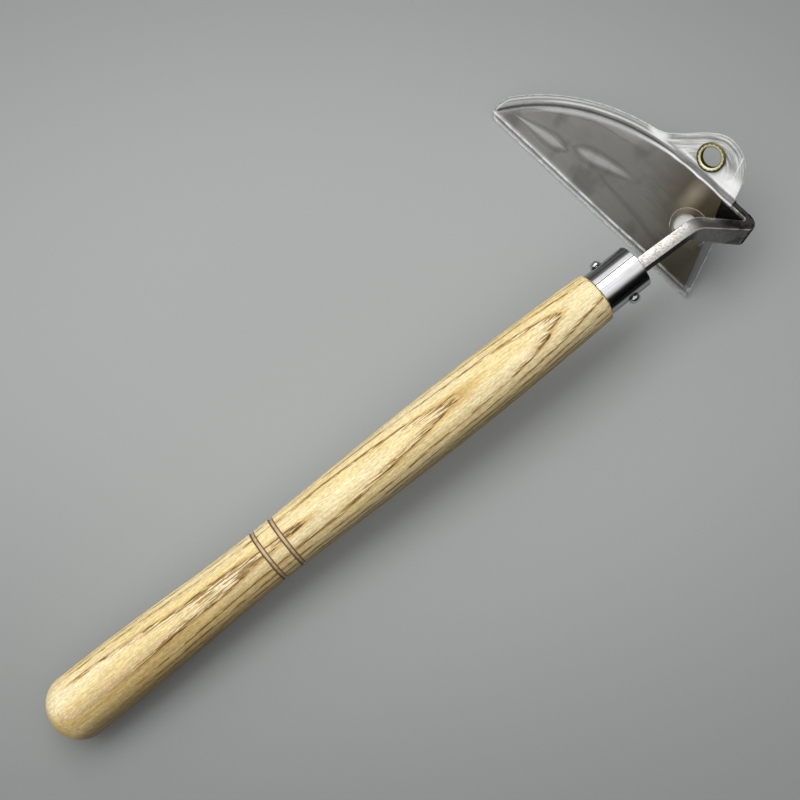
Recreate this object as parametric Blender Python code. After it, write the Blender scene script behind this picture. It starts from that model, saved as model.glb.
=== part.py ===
"""Draw hoe with a twisted neck: a turned grip, a folded flat-bar neck and a pointed
blade in a clear slip-on cover with a hanging eyelet. Metres, +Z up. The hoe lies on
z = 0, on its butt and on the cover along the cutting edge, with the grip along +X."""
import math

import bmesh
import bpy
from mathutils import Matrix, Vector

# Clearance between touching pieces
GAP = 0.0003

# Turned grip, measured along its own axis from the butt
HANDLE_RISE = math.radians(5.0)
GRIP_LENGTH = 0.3211
BUTT_DIAMETER = 0.0315
BUTT_DOME = 0.014
BUTT_STATION = 0.0295
WAIST_DIAMETER = 0.027
WAIST_STATION = 0.1235
BELLY_DIAMETER = 0.0298
BELLY_STATION = 0.227
NOSE_DIAMETER = 0.0257
NOSE_ROUND = 0.0016
GROOVE_STATIONS = (0.1245, 0.1352)
GROOVE_WIDTH = 0.0021
GROOVE_DEPTH = 0.0008
GRIP_SIDES = 32

# Ferrule, a rolled tube pushed over the grip's tenon
FERRULE_DIAMETER = 0.0225
FERRULE_WALL = 0.001
FERRULE_LENGTH = 0.0233
FERRULE_EASE = 0.0003
TENON_RECESS = 0.001

# Round-headed nails driven in from both sides, measured from the grip's shoulder
LEFT_NAIL_STATION = 0.0091
RIGHT_NAIL_STATION = 0.0132
NAIL_SHANK = 0.0022
NAIL_LENGTH = 0.015
NAIL_POINT = 0.003
NAIL_HEAD = 0.0044
NAIL_DOME = 0.0018

# Neck, one bent and twisted flat bar
BAR_THICKNESS = 0.0067
BAR_WIDTH = 0.0105
BAR_CHAMFER = 0.0008
TANG_LENGTH = 0.085
TANG_SHOULDER = 0.001
TANG_TIP_THICKNESS = 0.004
TANG_TIP_WIDTH = 0.0055
ARM_REACH = 0.0322
NECK_ASIDE = 0.0014
ELBOW_RADIUS = 0.010
ELBOW_ROLL = math.radians(10.0)
FOLD_RADIUS = 0.004
FOLD_OVERHANG = 0.0073
TONGUE_END = 0.040
TONGUE_TIP_WIDTH = 0.006
TONGUE_TIP_THICKNESS = 0.0012

# Blade, in its own plane: along the cutting edge from the heel, and up from the edge
BLADE_LENGTH = 0.137
BLADE_WIDTH = 0.0502
BLADE_THICKNESS = 0.002
SPINE_RADIUS = 0.121
POINT_ROUND = 0.0025
HEEL_LEAN = 0.015
BEVEL_WIDTH = 0.005
EDGE_THICKNESS = 0.0004
BLADE_HOLE = 0.0144
BLADE_HOLE_ALONG = 0.0195
BLADE_HOLE_UP = 0.0254

# Where the blade stands: its slope, its turn from square, and its heel from the elbow
BLADE_SLOPE = math.radians(50.0)
BLADE_TURN = math.radians(5.86)
HEEL_BACK = 0.0047
HEEL_ASIDE = 0.0158

# Weld fillet that holds the blade's back to the neck's tongue
WELD_LEG = 0.002
WELD_START = 0.019
WELD_END = 0.037

# Clear cover: two films welded round a pocket, open at the heel
FILM = 0.0005
SEAM_BELOW = 0.003
SEAM_ABOVE = 0.005
SEAM_AT_POINT = 0.0022
SEAM_WIDTH = 0.002
POCKET_PLAY = 0.0004
POCKET_RAMP = 0.004
MOUTH_FRONT = 0.0038
MOUTH_LEAN = 0.26
MOUTH_TRIM = 0.006
COVER_HOLE = 0.020
COVER_HOLE_TO_HEEL = 0.0015
COVER_HOLE_HIGHER = 0.0011
EAR_RADIUS = 0.0178
EAR_ABOVE_SPINE = 0.0063
EAR_SHOULDER = 0.0327

# Brass eyelet and its back washer, placed from the centre of the ear's arc
EYELET_INWARD = 0.003
EYELET_OUTWARD = 0.0046
EYELET_BORE = 0.0094
EYELET_BARREL = 0.0106
EYELET_FLANGE = 0.015
EYELET_LIP = 0.0124
EYELET_ROUND = 0.001
WASHER_DIAMETER = 0.014
WASHER_THICKNESS = 0.0005


# Materials

def principled(name, colour, roughness, metallic=0.0, alpha=1.0):
    material = bpy.data.materials.new(name)
    material.use_nodes = True
    shader = material.node_tree.nodes["Principled BSDF"]
    shader.inputs["Base Color"].default_value = (*colour, 1.0)
    shader.inputs["Roughness"].default_value = roughness
    shader.inputs["Metallic"].default_value = metallic
    shader.inputs["Alpha"].default_value = alpha
    return material


# Mesh helpers

def add_object(name, mesh_builder, material, matrix):
    """Turns a bmesh into an object, its faces facing out."""
    bmesh.ops.recalc_face_normals(mesh_builder, faces=mesh_builder.faces)
    if mesh_builder.calc_volume(signed=True) < 0.0:
        bmesh.ops.reverse_faces(mesh_builder, faces=mesh_builder.faces)
    mesh = bpy.data.meshes.new(name)
    mesh_builder.to_mesh(mesh)
    mesh_builder.free()
    made = bpy.data.objects.new(name, mesh)
    if material is not None:
        mesh.materials.append(material)
    bpy.context.scene.collection.objects.link(made)
    made.matrix_world = matrix
    mesh.shade_smooth()
    mesh.set_sharp_from_angle(angle=math.radians(35.0))
    return made


def add_cutter(name, mesh_builder, matrix):
    made = add_object(name, mesh_builder, None, matrix)
    made.hide_render = True
    made.display_type = "WIRE"
    return made


def cut(target, tool):
    modifier = target.modifiers.new("Cut " + tool.name, "BOOLEAN")
    modifier.operation = "DIFFERENCE"
    modifier.solver = "EXACT"
    modifier.object = tool


def turned(points, sides, closed=False):
    """Spins (along, radius) points about the local X axis."""
    built = bmesh.new()
    verts = [built.verts.new((along, 0.0, radius)) for along, radius in points]
    edges = [built.edges.new(pair) for pair in zip(verts, verts[1:])]
    if closed:
        edges.append(built.edges.new((verts[-1], verts[0])))
    bmesh.ops.spin(built, geom=verts + edges, cent=(0.0, 0.0, 0.0), axis=(1.0, 0.0, 0.0),
                   angle=2.0 * math.pi, steps=sides, use_merge=True)
    bmesh.ops.remove_doubles(built, verts=built.verts, dist=1e-7)
    return built


def prism(outline, low, high):
    """Extrudes an outline of (x, y) points from z = low to z = high."""
    built = bmesh.new()
    floor = [built.verts.new((x, y, low)) for x, y in outline]
    roof = [built.verts.new((x, y, high)) for x, y in outline]
    built.faces.new(floor)
    built.faces.new(roof)
    for here, after in zip(range(len(outline)), list(range(1, len(outline))) + [0]):
        built.faces.new((floor[here], floor[after], roof[after], roof[here]))
    return built


def loft(sections):
    """Joins rings of equal length into one closed skin with flat ends."""
    built = bmesh.new()
    rings = [[built.verts.new(point) for point in section] for section in sections]
    for ring, following in zip(rings, rings[1:]):
        for here in range(len(ring)):
            after = (here + 1) % len(ring)
            built.faces.new((ring[here], ring[after], following[after], following[here]))
    built.faces.new(rings[0])
    built.faces.new(rings[-1])
    return built


def spread(start, end, count):
    return [start + (end - start) * step / (count - 1) for step in range(count)]


# Grip

def eased(start, end, share):
    return start + (end - start) * (0.5 - 0.5 * math.cos(math.pi * share))


def grip_radius(along):
    """Radius of the turned grip, without its grooves."""
    if along < BUTT_DOME:
        drop = (BUTT_DOME - along) / BUTT_DOME
        return 0.5 * BUTT_DIAMETER * math.sqrt(max(0.0, 1.0 - drop * drop))
    if along < BUTT_STATION:
        return 0.5 * BUTT_DIAMETER
    if along < WAIST_STATION:
        share = (along - BUTT_STATION) / (WAIST_STATION - BUTT_STATION)
        return 0.5 * eased(BUTT_DIAMETER, WAIST_DIAMETER, share)
    if along < BELLY_STATION:
        share = (along - WAIST_STATION) / (BELLY_STATION - WAIST_STATION)
        return 0.5 * eased(WAIST_DIAMETER, BELLY_DIAMETER, share)
    share = (along - BELLY_STATION) / (GRIP_LENGTH - BELLY_STATION)
    return 0.5 * (BELLY_DIAMETER + (NOSE_DIAMETER - BELLY_DIAMETER) * share * share)


def grip_profile():
    dome = [BUTT_DOME * (1.0 - math.cos(math.radians(turn))) for turn in range(0, 90, 10)]
    nose_start = GRIP_LENGTH - NOSE_ROUND
    body = spread(BUTT_DOME, nose_start, 34)
    half = 0.5 * GROOVE_WIDTH
    body = [at for at in body if all(abs(at - groove) > 1.4 * half for groove in GROOVE_STATIONS)]
    points = [(at, grip_radius(at)) for at in dome + body]
    for groove in GROOVE_STATIONS:
        lip = grip_radius(groove)
        points += [(groove - half, lip), (groove - 0.5 * half, lip - GROOVE_DEPTH),
                   (groove + 0.5 * half, lip - GROOVE_DEPTH), (groove + half, lip)]
    points.sort()
    nose = grip_radius(nose_start)
    for turn in (30, 60, 90):
        angle = math.radians(turn)
        points.append((nose_start + NOSE_ROUND * math.sin(angle),
                       nose - NOSE_ROUND * (1.0 - math.cos(angle))))
    tenon = 0.5 * FERRULE_DIAMETER - FERRULE_WALL - GAP
    tenon_end = GRIP_LENGTH + GAP + FERRULE_LENGTH - TENON_RECESS
    points += [(GRIP_LENGTH, tenon), (tenon_end, tenon), (tenon_end, 0.0)]
    return points


def handle_frame():
    """Grip axis as X, lifted so that the grip's lowest point is on the ground."""
    lowest = max(radius * math.cos(HANDLE_RISE) - along * math.sin(HANDLE_RISE)
                 for along, radius in grip_profile())
    return Matrix.Translation((0.0, 0.0, lowest)) @ Matrix.Rotation(-HANDLE_RISE, 4, "Y")


def ferrule_front():
    return GRIP_LENGTH + GAP + FERRULE_LENGTH


def nail_station(side):
    return GRIP_LENGTH + (LEFT_NAIL_STATION if side > 0 else RIGHT_NAIL_STATION)


def nail_frame(frame, side):
    """Local X runs out through the nail's head, from the grip's axis."""
    turn = Matrix.Rotation(side * math.radians(90.0), 4, "Z")
    return frame @ Matrix.Translation((nail_station(side), 0.0, 0.0)) @ turn


def nail_seat():
    return 0.5 * FERRULE_DIAMETER + GAP


def nail_hole(frame, side, name):
    radius = 0.5 * NAIL_SHANK + GAP
    inner = nail_seat() - NAIL_LENGTH - GAP
    outer = nail_seat() + NAIL_DOME
    points = [(inner, 0.0), (inner, radius), (outer, radius), (outer, 0.0)]
    return add_cutter(name, turned(points, 16), nail_frame(frame, side))


def make_grip(frame, wood, holes):
    grip = add_object("handle", turned(grip_profile(), GRIP_SIDES), wood, frame)
    sections = [bar_ring(Vector((at, -NECK_ASIDE, 0.0)), Vector((0.0, 1.0, 0.0)),
                         Vector((0.0, 0.0, 1.0)), thickness + 2.0 * GAP, width + 2.0 * GAP)
                for at, thickness, width in mortise_stations()]
    cut(grip, add_cutter("cut_mortise", loft(sections), frame))
    for hole in holes:
        cut(grip, hole)
    return grip


def make_ferrule(frame, steel, holes):
    outer = 0.5 * FERRULE_DIAMETER
    inner = outer - FERRULE_WALL
    back = GRIP_LENGTH + GAP
    front = ferrule_front()
    points = [(back, inner), (back, outer), (front - FERRULE_EASE, outer),
              (front, outer - FERRULE_EASE), (front, inner)]
    ferrule = add_object("ferrule", turned(points, 40, closed=True), steel, frame)
    for hole in holes:
        cut(ferrule, hole)
    return ferrule


def make_nail(frame, steel, side, name):
    seat = nail_seat()
    tip = seat - NAIL_LENGTH
    shank = 0.5 * NAIL_SHANK
    head = 0.5 * NAIL_HEAD
    points = [(tip, 0.0), (tip + NAIL_POINT, shank), (seat, shank), (seat, head)]
    for turn in (25, 50, 70, 90):
        angle = math.radians(turn)
        points.append((seat + NAIL_DOME * math.sin(angle), head * math.cos(angle)))
    points[-1] = (seat + NAIL_DOME, 0.0)
    return add_object(name, turned(points, 16), steel, nail_frame(frame, side))


# Blade plane

def blade_axes():
    """Up the blade, along the cutting edge to the point, and out of the front face."""
    across = Vector((math.cos(BLADE_TURN), math.sin(BLADE_TURN), 0.0))
    along = Vector((-math.sin(BLADE_TURN), math.cos(BLADE_TURN), 0.0))
    up = across * math.cos(BLADE_SLOPE) + Vector((0.0, 0.0, math.sin(BLADE_SLOPE)))
    return up, along, up.cross(along)


def elbow_point(frame):
    return frame @ Vector((ferrule_front() + ARM_REACH, -NECK_ASIDE, 0.0))


def blade_frame(frame):
    """Local X up the blade, Y along the edge, Z out of the front face, heel at 0."""
    up, along, out = blade_axes()
    lowest = min(up.z * -SEAM_BELOW + out.z * -FILM,
                 up.z * -POCKET_PLAY - out.z * (EDGE_THICKNESS + GAP + FILM))
    bevel_foot = up.z * BEVEL_WIDTH - out.z * (BLADE_THICKNESS + GAP + FILM)
    elbow = elbow_point(frame)
    heel = Vector((elbow.x - HEEL_BACK, elbow.y - HEEL_ASIDE, -min(lowest, bevel_foot)))
    made = Matrix((up, along, out)).transposed().to_4x4()
    made.translation = heel
    return made


def spine_start():
    """Where the straight spine turns into its arc, along the edge."""
    drop = SPINE_RADIUS - BLADE_WIDTH
    return BLADE_LENGTH - math.sqrt(SPINE_RADIUS ** 2 - drop ** 2)


def spine_up(along, offset=0.0):
    """Height of a line parallel to the spine, offset outward."""
    if along < spine_start():
        return BLADE_WIDTH + offset
    reach = (SPINE_RADIUS + offset) ** 2 - (along - spine_start()) ** 2
    return BLADE_WIDTH - SPINE_RADIUS + math.sqrt(max(0.0, reach))


def point_centre():
    """Centre of the small arc that rounds the blade's point."""
    rise = POINT_ROUND + SPINE_RADIUS - BLADE_WIDTH
    return spine_start() + math.sqrt((SPINE_RADIUS - POINT_ROUND) ** 2 - rise ** 2)


def point_arc():
    """Points (up, along) round the blade's point, from the edge to the spine."""
    centre = point_centre()
    rise = POINT_ROUND + SPINE_RADIUS - BLADE_WIDTH
    last = math.atan2(rise, centre - spine_start())
    angles = spread(math.radians(-90.0), last, 7)
    return [(POINT_ROUND + POINT_ROUND * math.sin(angle), centre + POINT_ROUND * math.cos(angle))
            for angle in angles]


def blade_tip():
    return point_centre() + POINT_ROUND


def heel_along(up):
    return HEEL_LEAN * up / BLADE_WIDTH


def disc(centre_up, centre_along, diameter, low, high, sides):
    points = [(centre_up + 0.5 * diameter * math.cos(2.0 * math.pi * step / sides),
               centre_along + 0.5 * diameter * math.sin(2.0 * math.pi * step / sides))
              for step in range(sides)]
    return prism(points, low, high)


def make_blade(frame, steel):
    outline = [(0.0, 0.0)] + point_arc()
    outline += [(spine_up(at), at) for at in spread(outline[-1][1], spine_start(), 22)[1:]]
    outline.append((BLADE_WIDTH, heel_along(BLADE_WIDTH)))
    blade = add_object("blade", prism(outline, -BLADE_THICKNESS, 0.0), steel, frame)
    over = BLADE_THICKNESS
    fall = (BLADE_THICKNESS - EDGE_THICKNESS) / BEVEL_WIDTH
    wedge = [(-over, -EDGE_THICKNESS + fall * over),
             (BEVEL_WIDTH + over, -BLADE_THICKNESS - fall * over),
             (-over, -BLADE_THICKNESS - fall * over)]
    ground = bmesh.new()
    ends = [[ground.verts.new((up, at, out)) for up, out in wedge]
            for at in (-over, BLADE_LENGTH + over)]
    ground.faces.new(ends[0])
    ground.faces.new(ends[1])
    for here, after in ((0, 1), (1, 2), (2, 0)):
        ground.faces.new((ends[0][here], ends[0][after], ends[1][after], ends[1][here]))
    cut(blade, add_cutter("cut_bevel", ground, frame))
    hole = disc(BLADE_HOLE_UP, BLADE_HOLE_ALONG, BLADE_HOLE, -2.0 * over, over, 28)
    cut(blade, add_cutter("cut_blade_hole", hole, frame))
    return blade


# Neck

def bar_ring(centre, thin, wide, thickness, width):
    """Eight points of a bar's section with chamfered corners."""
    edge = min(BAR_CHAMFER, 0.3 * thickness)
    half_thin = 0.5 * thickness
    half_wide = 0.5 * width
    corners = [(half_thin, half_wide - edge), (half_thin - edge, half_wide),
               (edge - half_thin, half_wide), (-half_thin, half_wide - edge),
               (-half_thin, edge - half_wide), (edge - half_thin, -half_wide),
               (half_thin - edge, -half_wide), (half_thin, edge - half_wide)]
    return [centre + thin * across + wide * up for across, up in corners]


def tang_start():
    return ferrule_front() - TANG_LENGTH


def mortise_stations():
    """Stations of the slot for the tang: place, thickness and width."""
    return [(tang_start() - GAP, TANG_TIP_THICKNESS, TANG_TIP_WIDTH),
            (ferrule_front() + TANG_SHOULDER, BAR_THICKNESS, BAR_WIDTH)]


def bend(corner, before, after, radius, steps):
    """Points and directions round a bend between two straight runs."""
    turn = before.angle(after)
    reach = radius * math.tan(0.5 * turn)
    axis = before.cross(after).normalized()
    start = corner - before * reach
    inward = axis.cross(before)
    centre = start + inward * radius
    placed = []
    for step in range(steps + 1):
        rotation = Matrix.Rotation(turn * step / steps, 3, axis)
        placed.append((centre - rotation @ inward * radius, rotation @ before))
    return placed


def squared(wide, direction):
    """The part of the width direction that is square to the bar's run."""
    return (wide - direction * wide.dot(direction)).normalized()


def neck_sections(grip, blade):
    run = (grip.to_3x3() @ Vector((1.0, 0.0, 0.0))).normalized()
    upright = (grip.to_3x3() @ Vector((0.0, 0.0, 1.0))).normalized()
    rolled = Matrix.Rotation(-ELBOW_ROLL, 3, run) @ upright
    up, along, out = blade_axes()
    elbow = elbow_point(grip)
    middle_up = BLADE_WIDTH - 0.5 * BAR_WIDTH
    fold = blade @ Vector((middle_up, -FOLD_OVERHANG, -0.5 * BAR_THICKNESS))
    second = (fold - elbow).normalized()

    placed = []
    tip = grip @ Vector((tang_start(), -NECK_ASIDE, 0.0))
    placed.append((tip, run, upright, TANG_TIP_THICKNESS, TANG_TIP_WIDTH))
    shoulder = grip @ Vector((ferrule_front() + TANG_SHOULDER, -NECK_ASIDE, 0.0))
    placed.append((shoulder, run, upright, BAR_THICKNESS, BAR_WIDTH))

    elbow_bend = bend(elbow, run, second, ELBOW_RADIUS, 8)
    fold_bend = bend(fold, second, along, FOLD_RADIUS, 10)
    after_elbow = elbow_bend[-1][0]
    before_fold = fold_bend[0][0]
    half_way = 0.5 * (after_elbow + before_fold)
    spin = Matrix.Rotation(run.angle(second), 3, run.cross(second).normalized())
    leaving = squared(spin @ rolled, second)
    arriving = squared(up, second)
    for step, (point, direction) in enumerate(elbow_bend):
        share = step / (len(elbow_bend) - 1)
        turned_wide = Matrix.Rotation(run.angle(second) * share, 3,
                                      run.cross(second).normalized())
        wide = turned_wide @ upright.lerp(rolled, share)
        placed.append((point, direction, squared(wide, direction), BAR_THICKNESS, BAR_WIDTH))
    placed.append((half_way, second, squared(leaving.lerp(arriving, 0.5), second),
                   BAR_THICKNESS, BAR_WIDTH))
    for step, (point, direction) in enumerate(fold_bend):
        share = step / (len(fold_bend) - 1)
        wide = squared(arriving.lerp(up, share), direction)
        placed.append((point, direction, wide, BAR_THICKNESS, BAR_WIDTH))

    plate_end = blade @ Vector((middle_up, heel_along(BLADE_WIDTH), -0.5 * BAR_THICKNESS))
    placed.append((plate_end, along, up, BAR_THICKNESS, BAR_WIDTH))
    tip_depth = BLADE_THICKNESS + GAP + TONGUE_TIP_THICKNESS
    tip_up = BLADE_WIDTH - 0.5 * TONGUE_TIP_WIDTH
    placed.append((blade @ Vector((tip_up, TONGUE_END, -0.5 * tip_depth)), along, up,
                   tip_depth, TONGUE_TIP_WIDTH))
    return [bar_ring(point, direction.cross(wide), wide, thickness, width)
            for point, direction, wide, thickness, width in placed]


def make_neck(grip, blade, steel, holes):
    neck = add_object("neck", loft(neck_sections(grip, blade)), steel, Matrix.Identity(4))
    low = BLADE_WIDTH - 2.0 * BAR_WIDTH
    high = BLADE_WIDTH + BAR_WIDTH
    lean = GAP * math.hypot(1.0, HEEL_LEAN / BLADE_WIDTH)
    seat = [(low, heel_along(low) - lean), (high, heel_along(high) - lean),
            (high, 2.0 * TONGUE_END), (low, 2.0 * TONGUE_END)]
    step = prism(seat, -BLADE_THICKNESS - GAP, BLADE_THICKNESS)
    cut(neck, add_cutter("cut_blade_seat", step, blade))
    for hole in holes:
        cut(neck, hole)
    return neck


def tongue_inner(along):
    """Inner side of the tongue, up from the cutting edge."""
    share = (along - heel_along(BLADE_WIDTH)) / (TONGUE_END - heel_along(BLADE_WIDTH))
    share = min(1.0, max(0.0, share))
    return BLADE_WIDTH - BAR_WIDTH - (TONGUE_TIP_WIDTH - BAR_WIDTH) * share


def make_weld(frame, steel):
    """A fillet along the inner side of the tongue, under the blade."""
    top = -BLADE_THICKNESS - GAP
    sections = []
    for at in spread(WELD_START, WELD_END, 7):
        side = tongue_inner(at) - GAP
        depth = min(WELD_LEG, -tongue_bottom(at) + top)
        sections.append([Vector((side, at, top)), Vector((side, at, top - depth)),
                         Vector((side - 0.4 * WELD_LEG, at, top - 0.75 * depth)),
                         Vector((side - WELD_LEG, at, top))])
    return add_object("weld_fillet", loft(sections), steel, frame)


def tongue_bottom(along):
    """Underside of the neck's end, out from the blade's front face."""
    shoulder = heel_along(BLADE_WIDTH)
    tip_depth = BLADE_THICKNESS + GAP + TONGUE_TIP_THICKNESS
    share = min(1.0, max(0.0, (along - shoulder) / (TONGUE_END - shoulder)))
    return -(BAR_THICKNESS + (tip_depth - BAR_THICKNESS) * share)


# Cover

def pocket_end():
    return blade_tip() + POCKET_PLAY


def cover_stations():
    """Stations along the edge, from beyond the mouth to the cover's point."""
    start = mouth_along(-SEAM_BELOW) - MOUTH_TRIM
    stations = spread(start, heel_along(BLADE_WIDTH), 5)
    stations += spread(heel_along(BLADE_WIDTH), TONGUE_END, 7)[1:]
    stations += spread(TONGUE_END + POCKET_RAMP, pocket_end(), 20)
    return stations + [pocket_end() + 0.5 * SEAM_AT_POINT, pocket_end() + SEAM_AT_POINT]


def ear_up():
    return BLADE_WIDTH + EAR_ABOVE_SPINE


def ear_along():
    """The ear's arc is tangent to the mouth's line."""
    slant = math.hypot(1.0, MOUTH_LEAN)
    touch_up = ear_up() + EAR_RADIUS * MOUTH_LEAN / slant
    return mouth_along(touch_up) + EAR_RADIUS / slant


def eyelet_place():
    """Centre of the eyelet, up the blade and along its edge."""
    return ear_up() + EYELET_OUTWARD, ear_along() + EYELET_INWARD


def mouth_along(up):
    return MOUTH_LEAN * up - MOUTH_FRONT


def cover_rim(along):
    """Upper outline of the cover, with its hanging ear."""
    seam = spine_up(along, SEAM_ABOVE)
    crown = ear_up() + EAR_RADIUS
    past = along - ear_along()
    if past <= 0.0:
        return crown
    if past >= EAR_SHOULDER:
        return seam
    return seam + (crown - seam) * math.cos(0.5 * math.pi * past / EAR_SHOULDER) ** 2


def cover_rows(along):
    """Break lines of the pocket across one station, from the lower rim to the upper."""
    low_in = -POCKET_PLAY
    high_in = max(spine_up(along, POCKET_PLAY), low_in + POCKET_PLAY)
    seam_in = max(spine_up(along, SEAM_ABOVE - SEAM_WIDTH), high_in + POCKET_PLAY)
    rim = max(cover_rim(along), seam_in + POCKET_PLAY)
    span = high_in - low_in
    bevel_in = low_in + min(BEVEL_WIDTH + POCKET_PLAY, 0.3 * span)
    tongue_span = BLADE_WIDTH - tongue_inner(along) + WELD_LEG + 2.0 * POCKET_PLAY
    tongue_in = high_in - min(tongue_span, 0.4 * span)
    slope_in = tongue_in - min(BLADE_THICKNESS, 0.15 * span)
    return [-SEAM_BELOW, -SEAM_BELOW + 0.5 * SEAM_WIDTH, low_in, bevel_in, slope_in,
            tongue_in, high_in, seam_in, rim]


def back_depths(along):
    """Height of the back film's inner side on each break line."""
    if along > pocket_end() + 0.25 * SEAM_AT_POINT:
        return [0.0] * len(cover_rows(along))
    flat = -BLADE_THICKNESS - GAP
    deep = flat
    if along < TONGUE_END + 0.5 * POCKET_RAMP:
        deep = tongue_bottom(along) - GAP
    edge = -EDGE_THICKNESS - GAP
    return [0.0, 0.0, edge, flat, flat, deep, deep, 0.0, 0.0]


def front_heights(along):
    return [GAP + FILM] * len(cover_rows(along))


def film_sheet(inner, outer_step):
    """A closed sheet over the cover's grid; inner gives one face's height on each row."""
    built = bmesh.new()
    near = []
    far = []
    for along in cover_stations():
        rows = list(zip(cover_rows(along), inner(along)))
        near.append([built.verts.new((up, along, out)) for up, out in rows])
        far.append([built.verts.new((up, along, out - outer_step)) for up, out in rows])
    last = len(near) - 1
    side = len(near[0]) - 1
    for here in range(last):
        for row in range(side):
            for sheet in (near, far):
                built.faces.new((sheet[here][row], sheet[here + 1][row],
                                 sheet[here + 1][row + 1], sheet[here][row + 1]))
        for row in (0, side):
            built.faces.new((near[here][row], near[here + 1][row],
                             far[here + 1][row], far[here][row]))
    for end in (0, last):
        for row in range(side):
            built.faces.new((near[end][row], near[end][row + 1],
                             far[end][row + 1], far[end][row]))
    bmesh.ops.triangulate(built, faces=built.faces)
    return built


def mouth_cutter(frame):
    """Everything beyond the slanting mouth and the round end of the ear."""
    slant = math.hypot(1.0, MOUTH_LEAN)
    centre = ear_along()
    low = -SEAM_BELOW - MOUTH_TRIM
    beyond = ear_up() + EAR_RADIUS + MOUTH_TRIM
    outside = mouth_along(low) - 2.0 * MOUTH_TRIM
    outline = [(low, mouth_along(low))]
    first = math.atan2(-1.0 / slant, MOUTH_LEAN / slant)
    for step in range(9):
        angle = first + (0.0 - first) * step / 8.0
        outline.append((ear_up() + EAR_RADIUS * math.cos(angle),
                        centre + EAR_RADIUS * math.sin(angle)))
    outline += [(beyond, centre), (beyond, outside), (low, outside)]
    deep = 2.0 * BAR_THICKNESS
    return add_cutter("cut_mouth", prism(outline, -deep, deep), frame)


def make_cover(frame, film, brass):
    mouth = mouth_cutter(frame)
    reach = BAR_THICKNESS
    eyelet_hole = disc(*eyelet_place(), EYELET_BARREL + 2.0 * GAP, -reach, reach, 24)
    eyelet_tool = add_cutter("cut_eyelet_hole", eyelet_hole, frame)
    relief = disc(BLADE_HOLE_UP + COVER_HOLE_HIGHER, BLADE_HOLE_ALONG - COVER_HOLE_TO_HEEL,
                  COVER_HOLE, 0.0, reach, 28)
    relief_tool = add_cutter("cut_cover_hole", relief, frame)
    front = add_object("cover_front_film", film_sheet(front_heights, FILM), film, frame)
    back = add_object("cover_back_film", film_sheet(back_depths, FILM), film, frame)
    for sheet in (front, back):
        cut(sheet, mouth)
        cut(sheet, eyelet_tool)
    cut(front, relief_tool)
    return [front, back] + make_eyelet(frame, brass)


def eyelet_frame(frame):
    """Local X out of the cover's front, at the eyelet's centre."""
    turn = Matrix.Rotation(math.radians(-90.0), 4, "Y")
    return frame @ Matrix.Translation((*eyelet_place(), 0.0)) @ turn


def make_eyelet(frame, brass):
    bore = 0.5 * EYELET_BORE
    barrel = 0.5 * EYELET_BARREL
    flange = 0.5 * EYELET_FLANGE
    lip = 0.5 * EYELET_LIP
    front = GAP + FILM + GAP
    washer_front = -FILM - GAP
    washer_back = washer_front - WASHER_THICKNESS
    back = washer_back - GAP
    crest = front + EYELET_ROUND
    points = [(front, barrel), (front, flange), (front + 0.5 * EYELET_ROUND, flange),
              (crest, 0.5 * (flange + bore)), (front + 0.6 * EYELET_ROUND, bore),
              (back - 0.4 * EYELET_ROUND, bore), (back - 0.8 * EYELET_ROUND, 0.5 * (lip + bore)),
              (back - 0.4 * EYELET_ROUND, lip), (back, lip), (back, barrel)]
    place = eyelet_frame(frame)
    eyelet = add_object("eyelet", turned(points, 24, closed=True), brass, place)
    hole = barrel + GAP
    ring = 0.5 * WASHER_DIAMETER
    flat = [(washer_front, hole), (washer_front, ring), (washer_back, ring),
            (washer_back, hole)]
    washer = add_object("eyelet_washer", turned(flat, 24, closed=True), brass, place)
    return [eyelet, washer]


# Assembly

def parent_to(parent, children):
    """Hangs the children on the parent without moving them."""
    bpy.context.view_layer.update()
    for child in children:
        child.parent = parent
        child.matrix_parent_inverse = parent.matrix_world.inverted()


def add_empty(name, matrix):
    empty = bpy.data.objects.new(name, None)
    bpy.context.scene.collection.objects.link(empty)
    empty.matrix_world = matrix
    return empty


def base_centre(pieces):
    """Middle of the whole hoe's box, on the ground."""
    bpy.context.view_layer.update()
    graph = bpy.context.evaluated_depsgraph_get()
    corners = []
    for piece in pieces:
        mesh = piece.evaluated_get(graph).to_mesh()
        corners += [piece.matrix_world @ vert.co for vert in mesh.vertices]
    low = [min(corner[axis] for corner in corners) for axis in range(3)]
    high = [max(corner[axis] for corner in corners) for axis in range(3)]
    print("box", [round(1000.0 * (b - a), 3) for a, b in zip(low, high)])
    return Vector((0.5 * (low[0] + high[0]), 0.5 * (low[1] + high[1]), low[2]))


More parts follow.
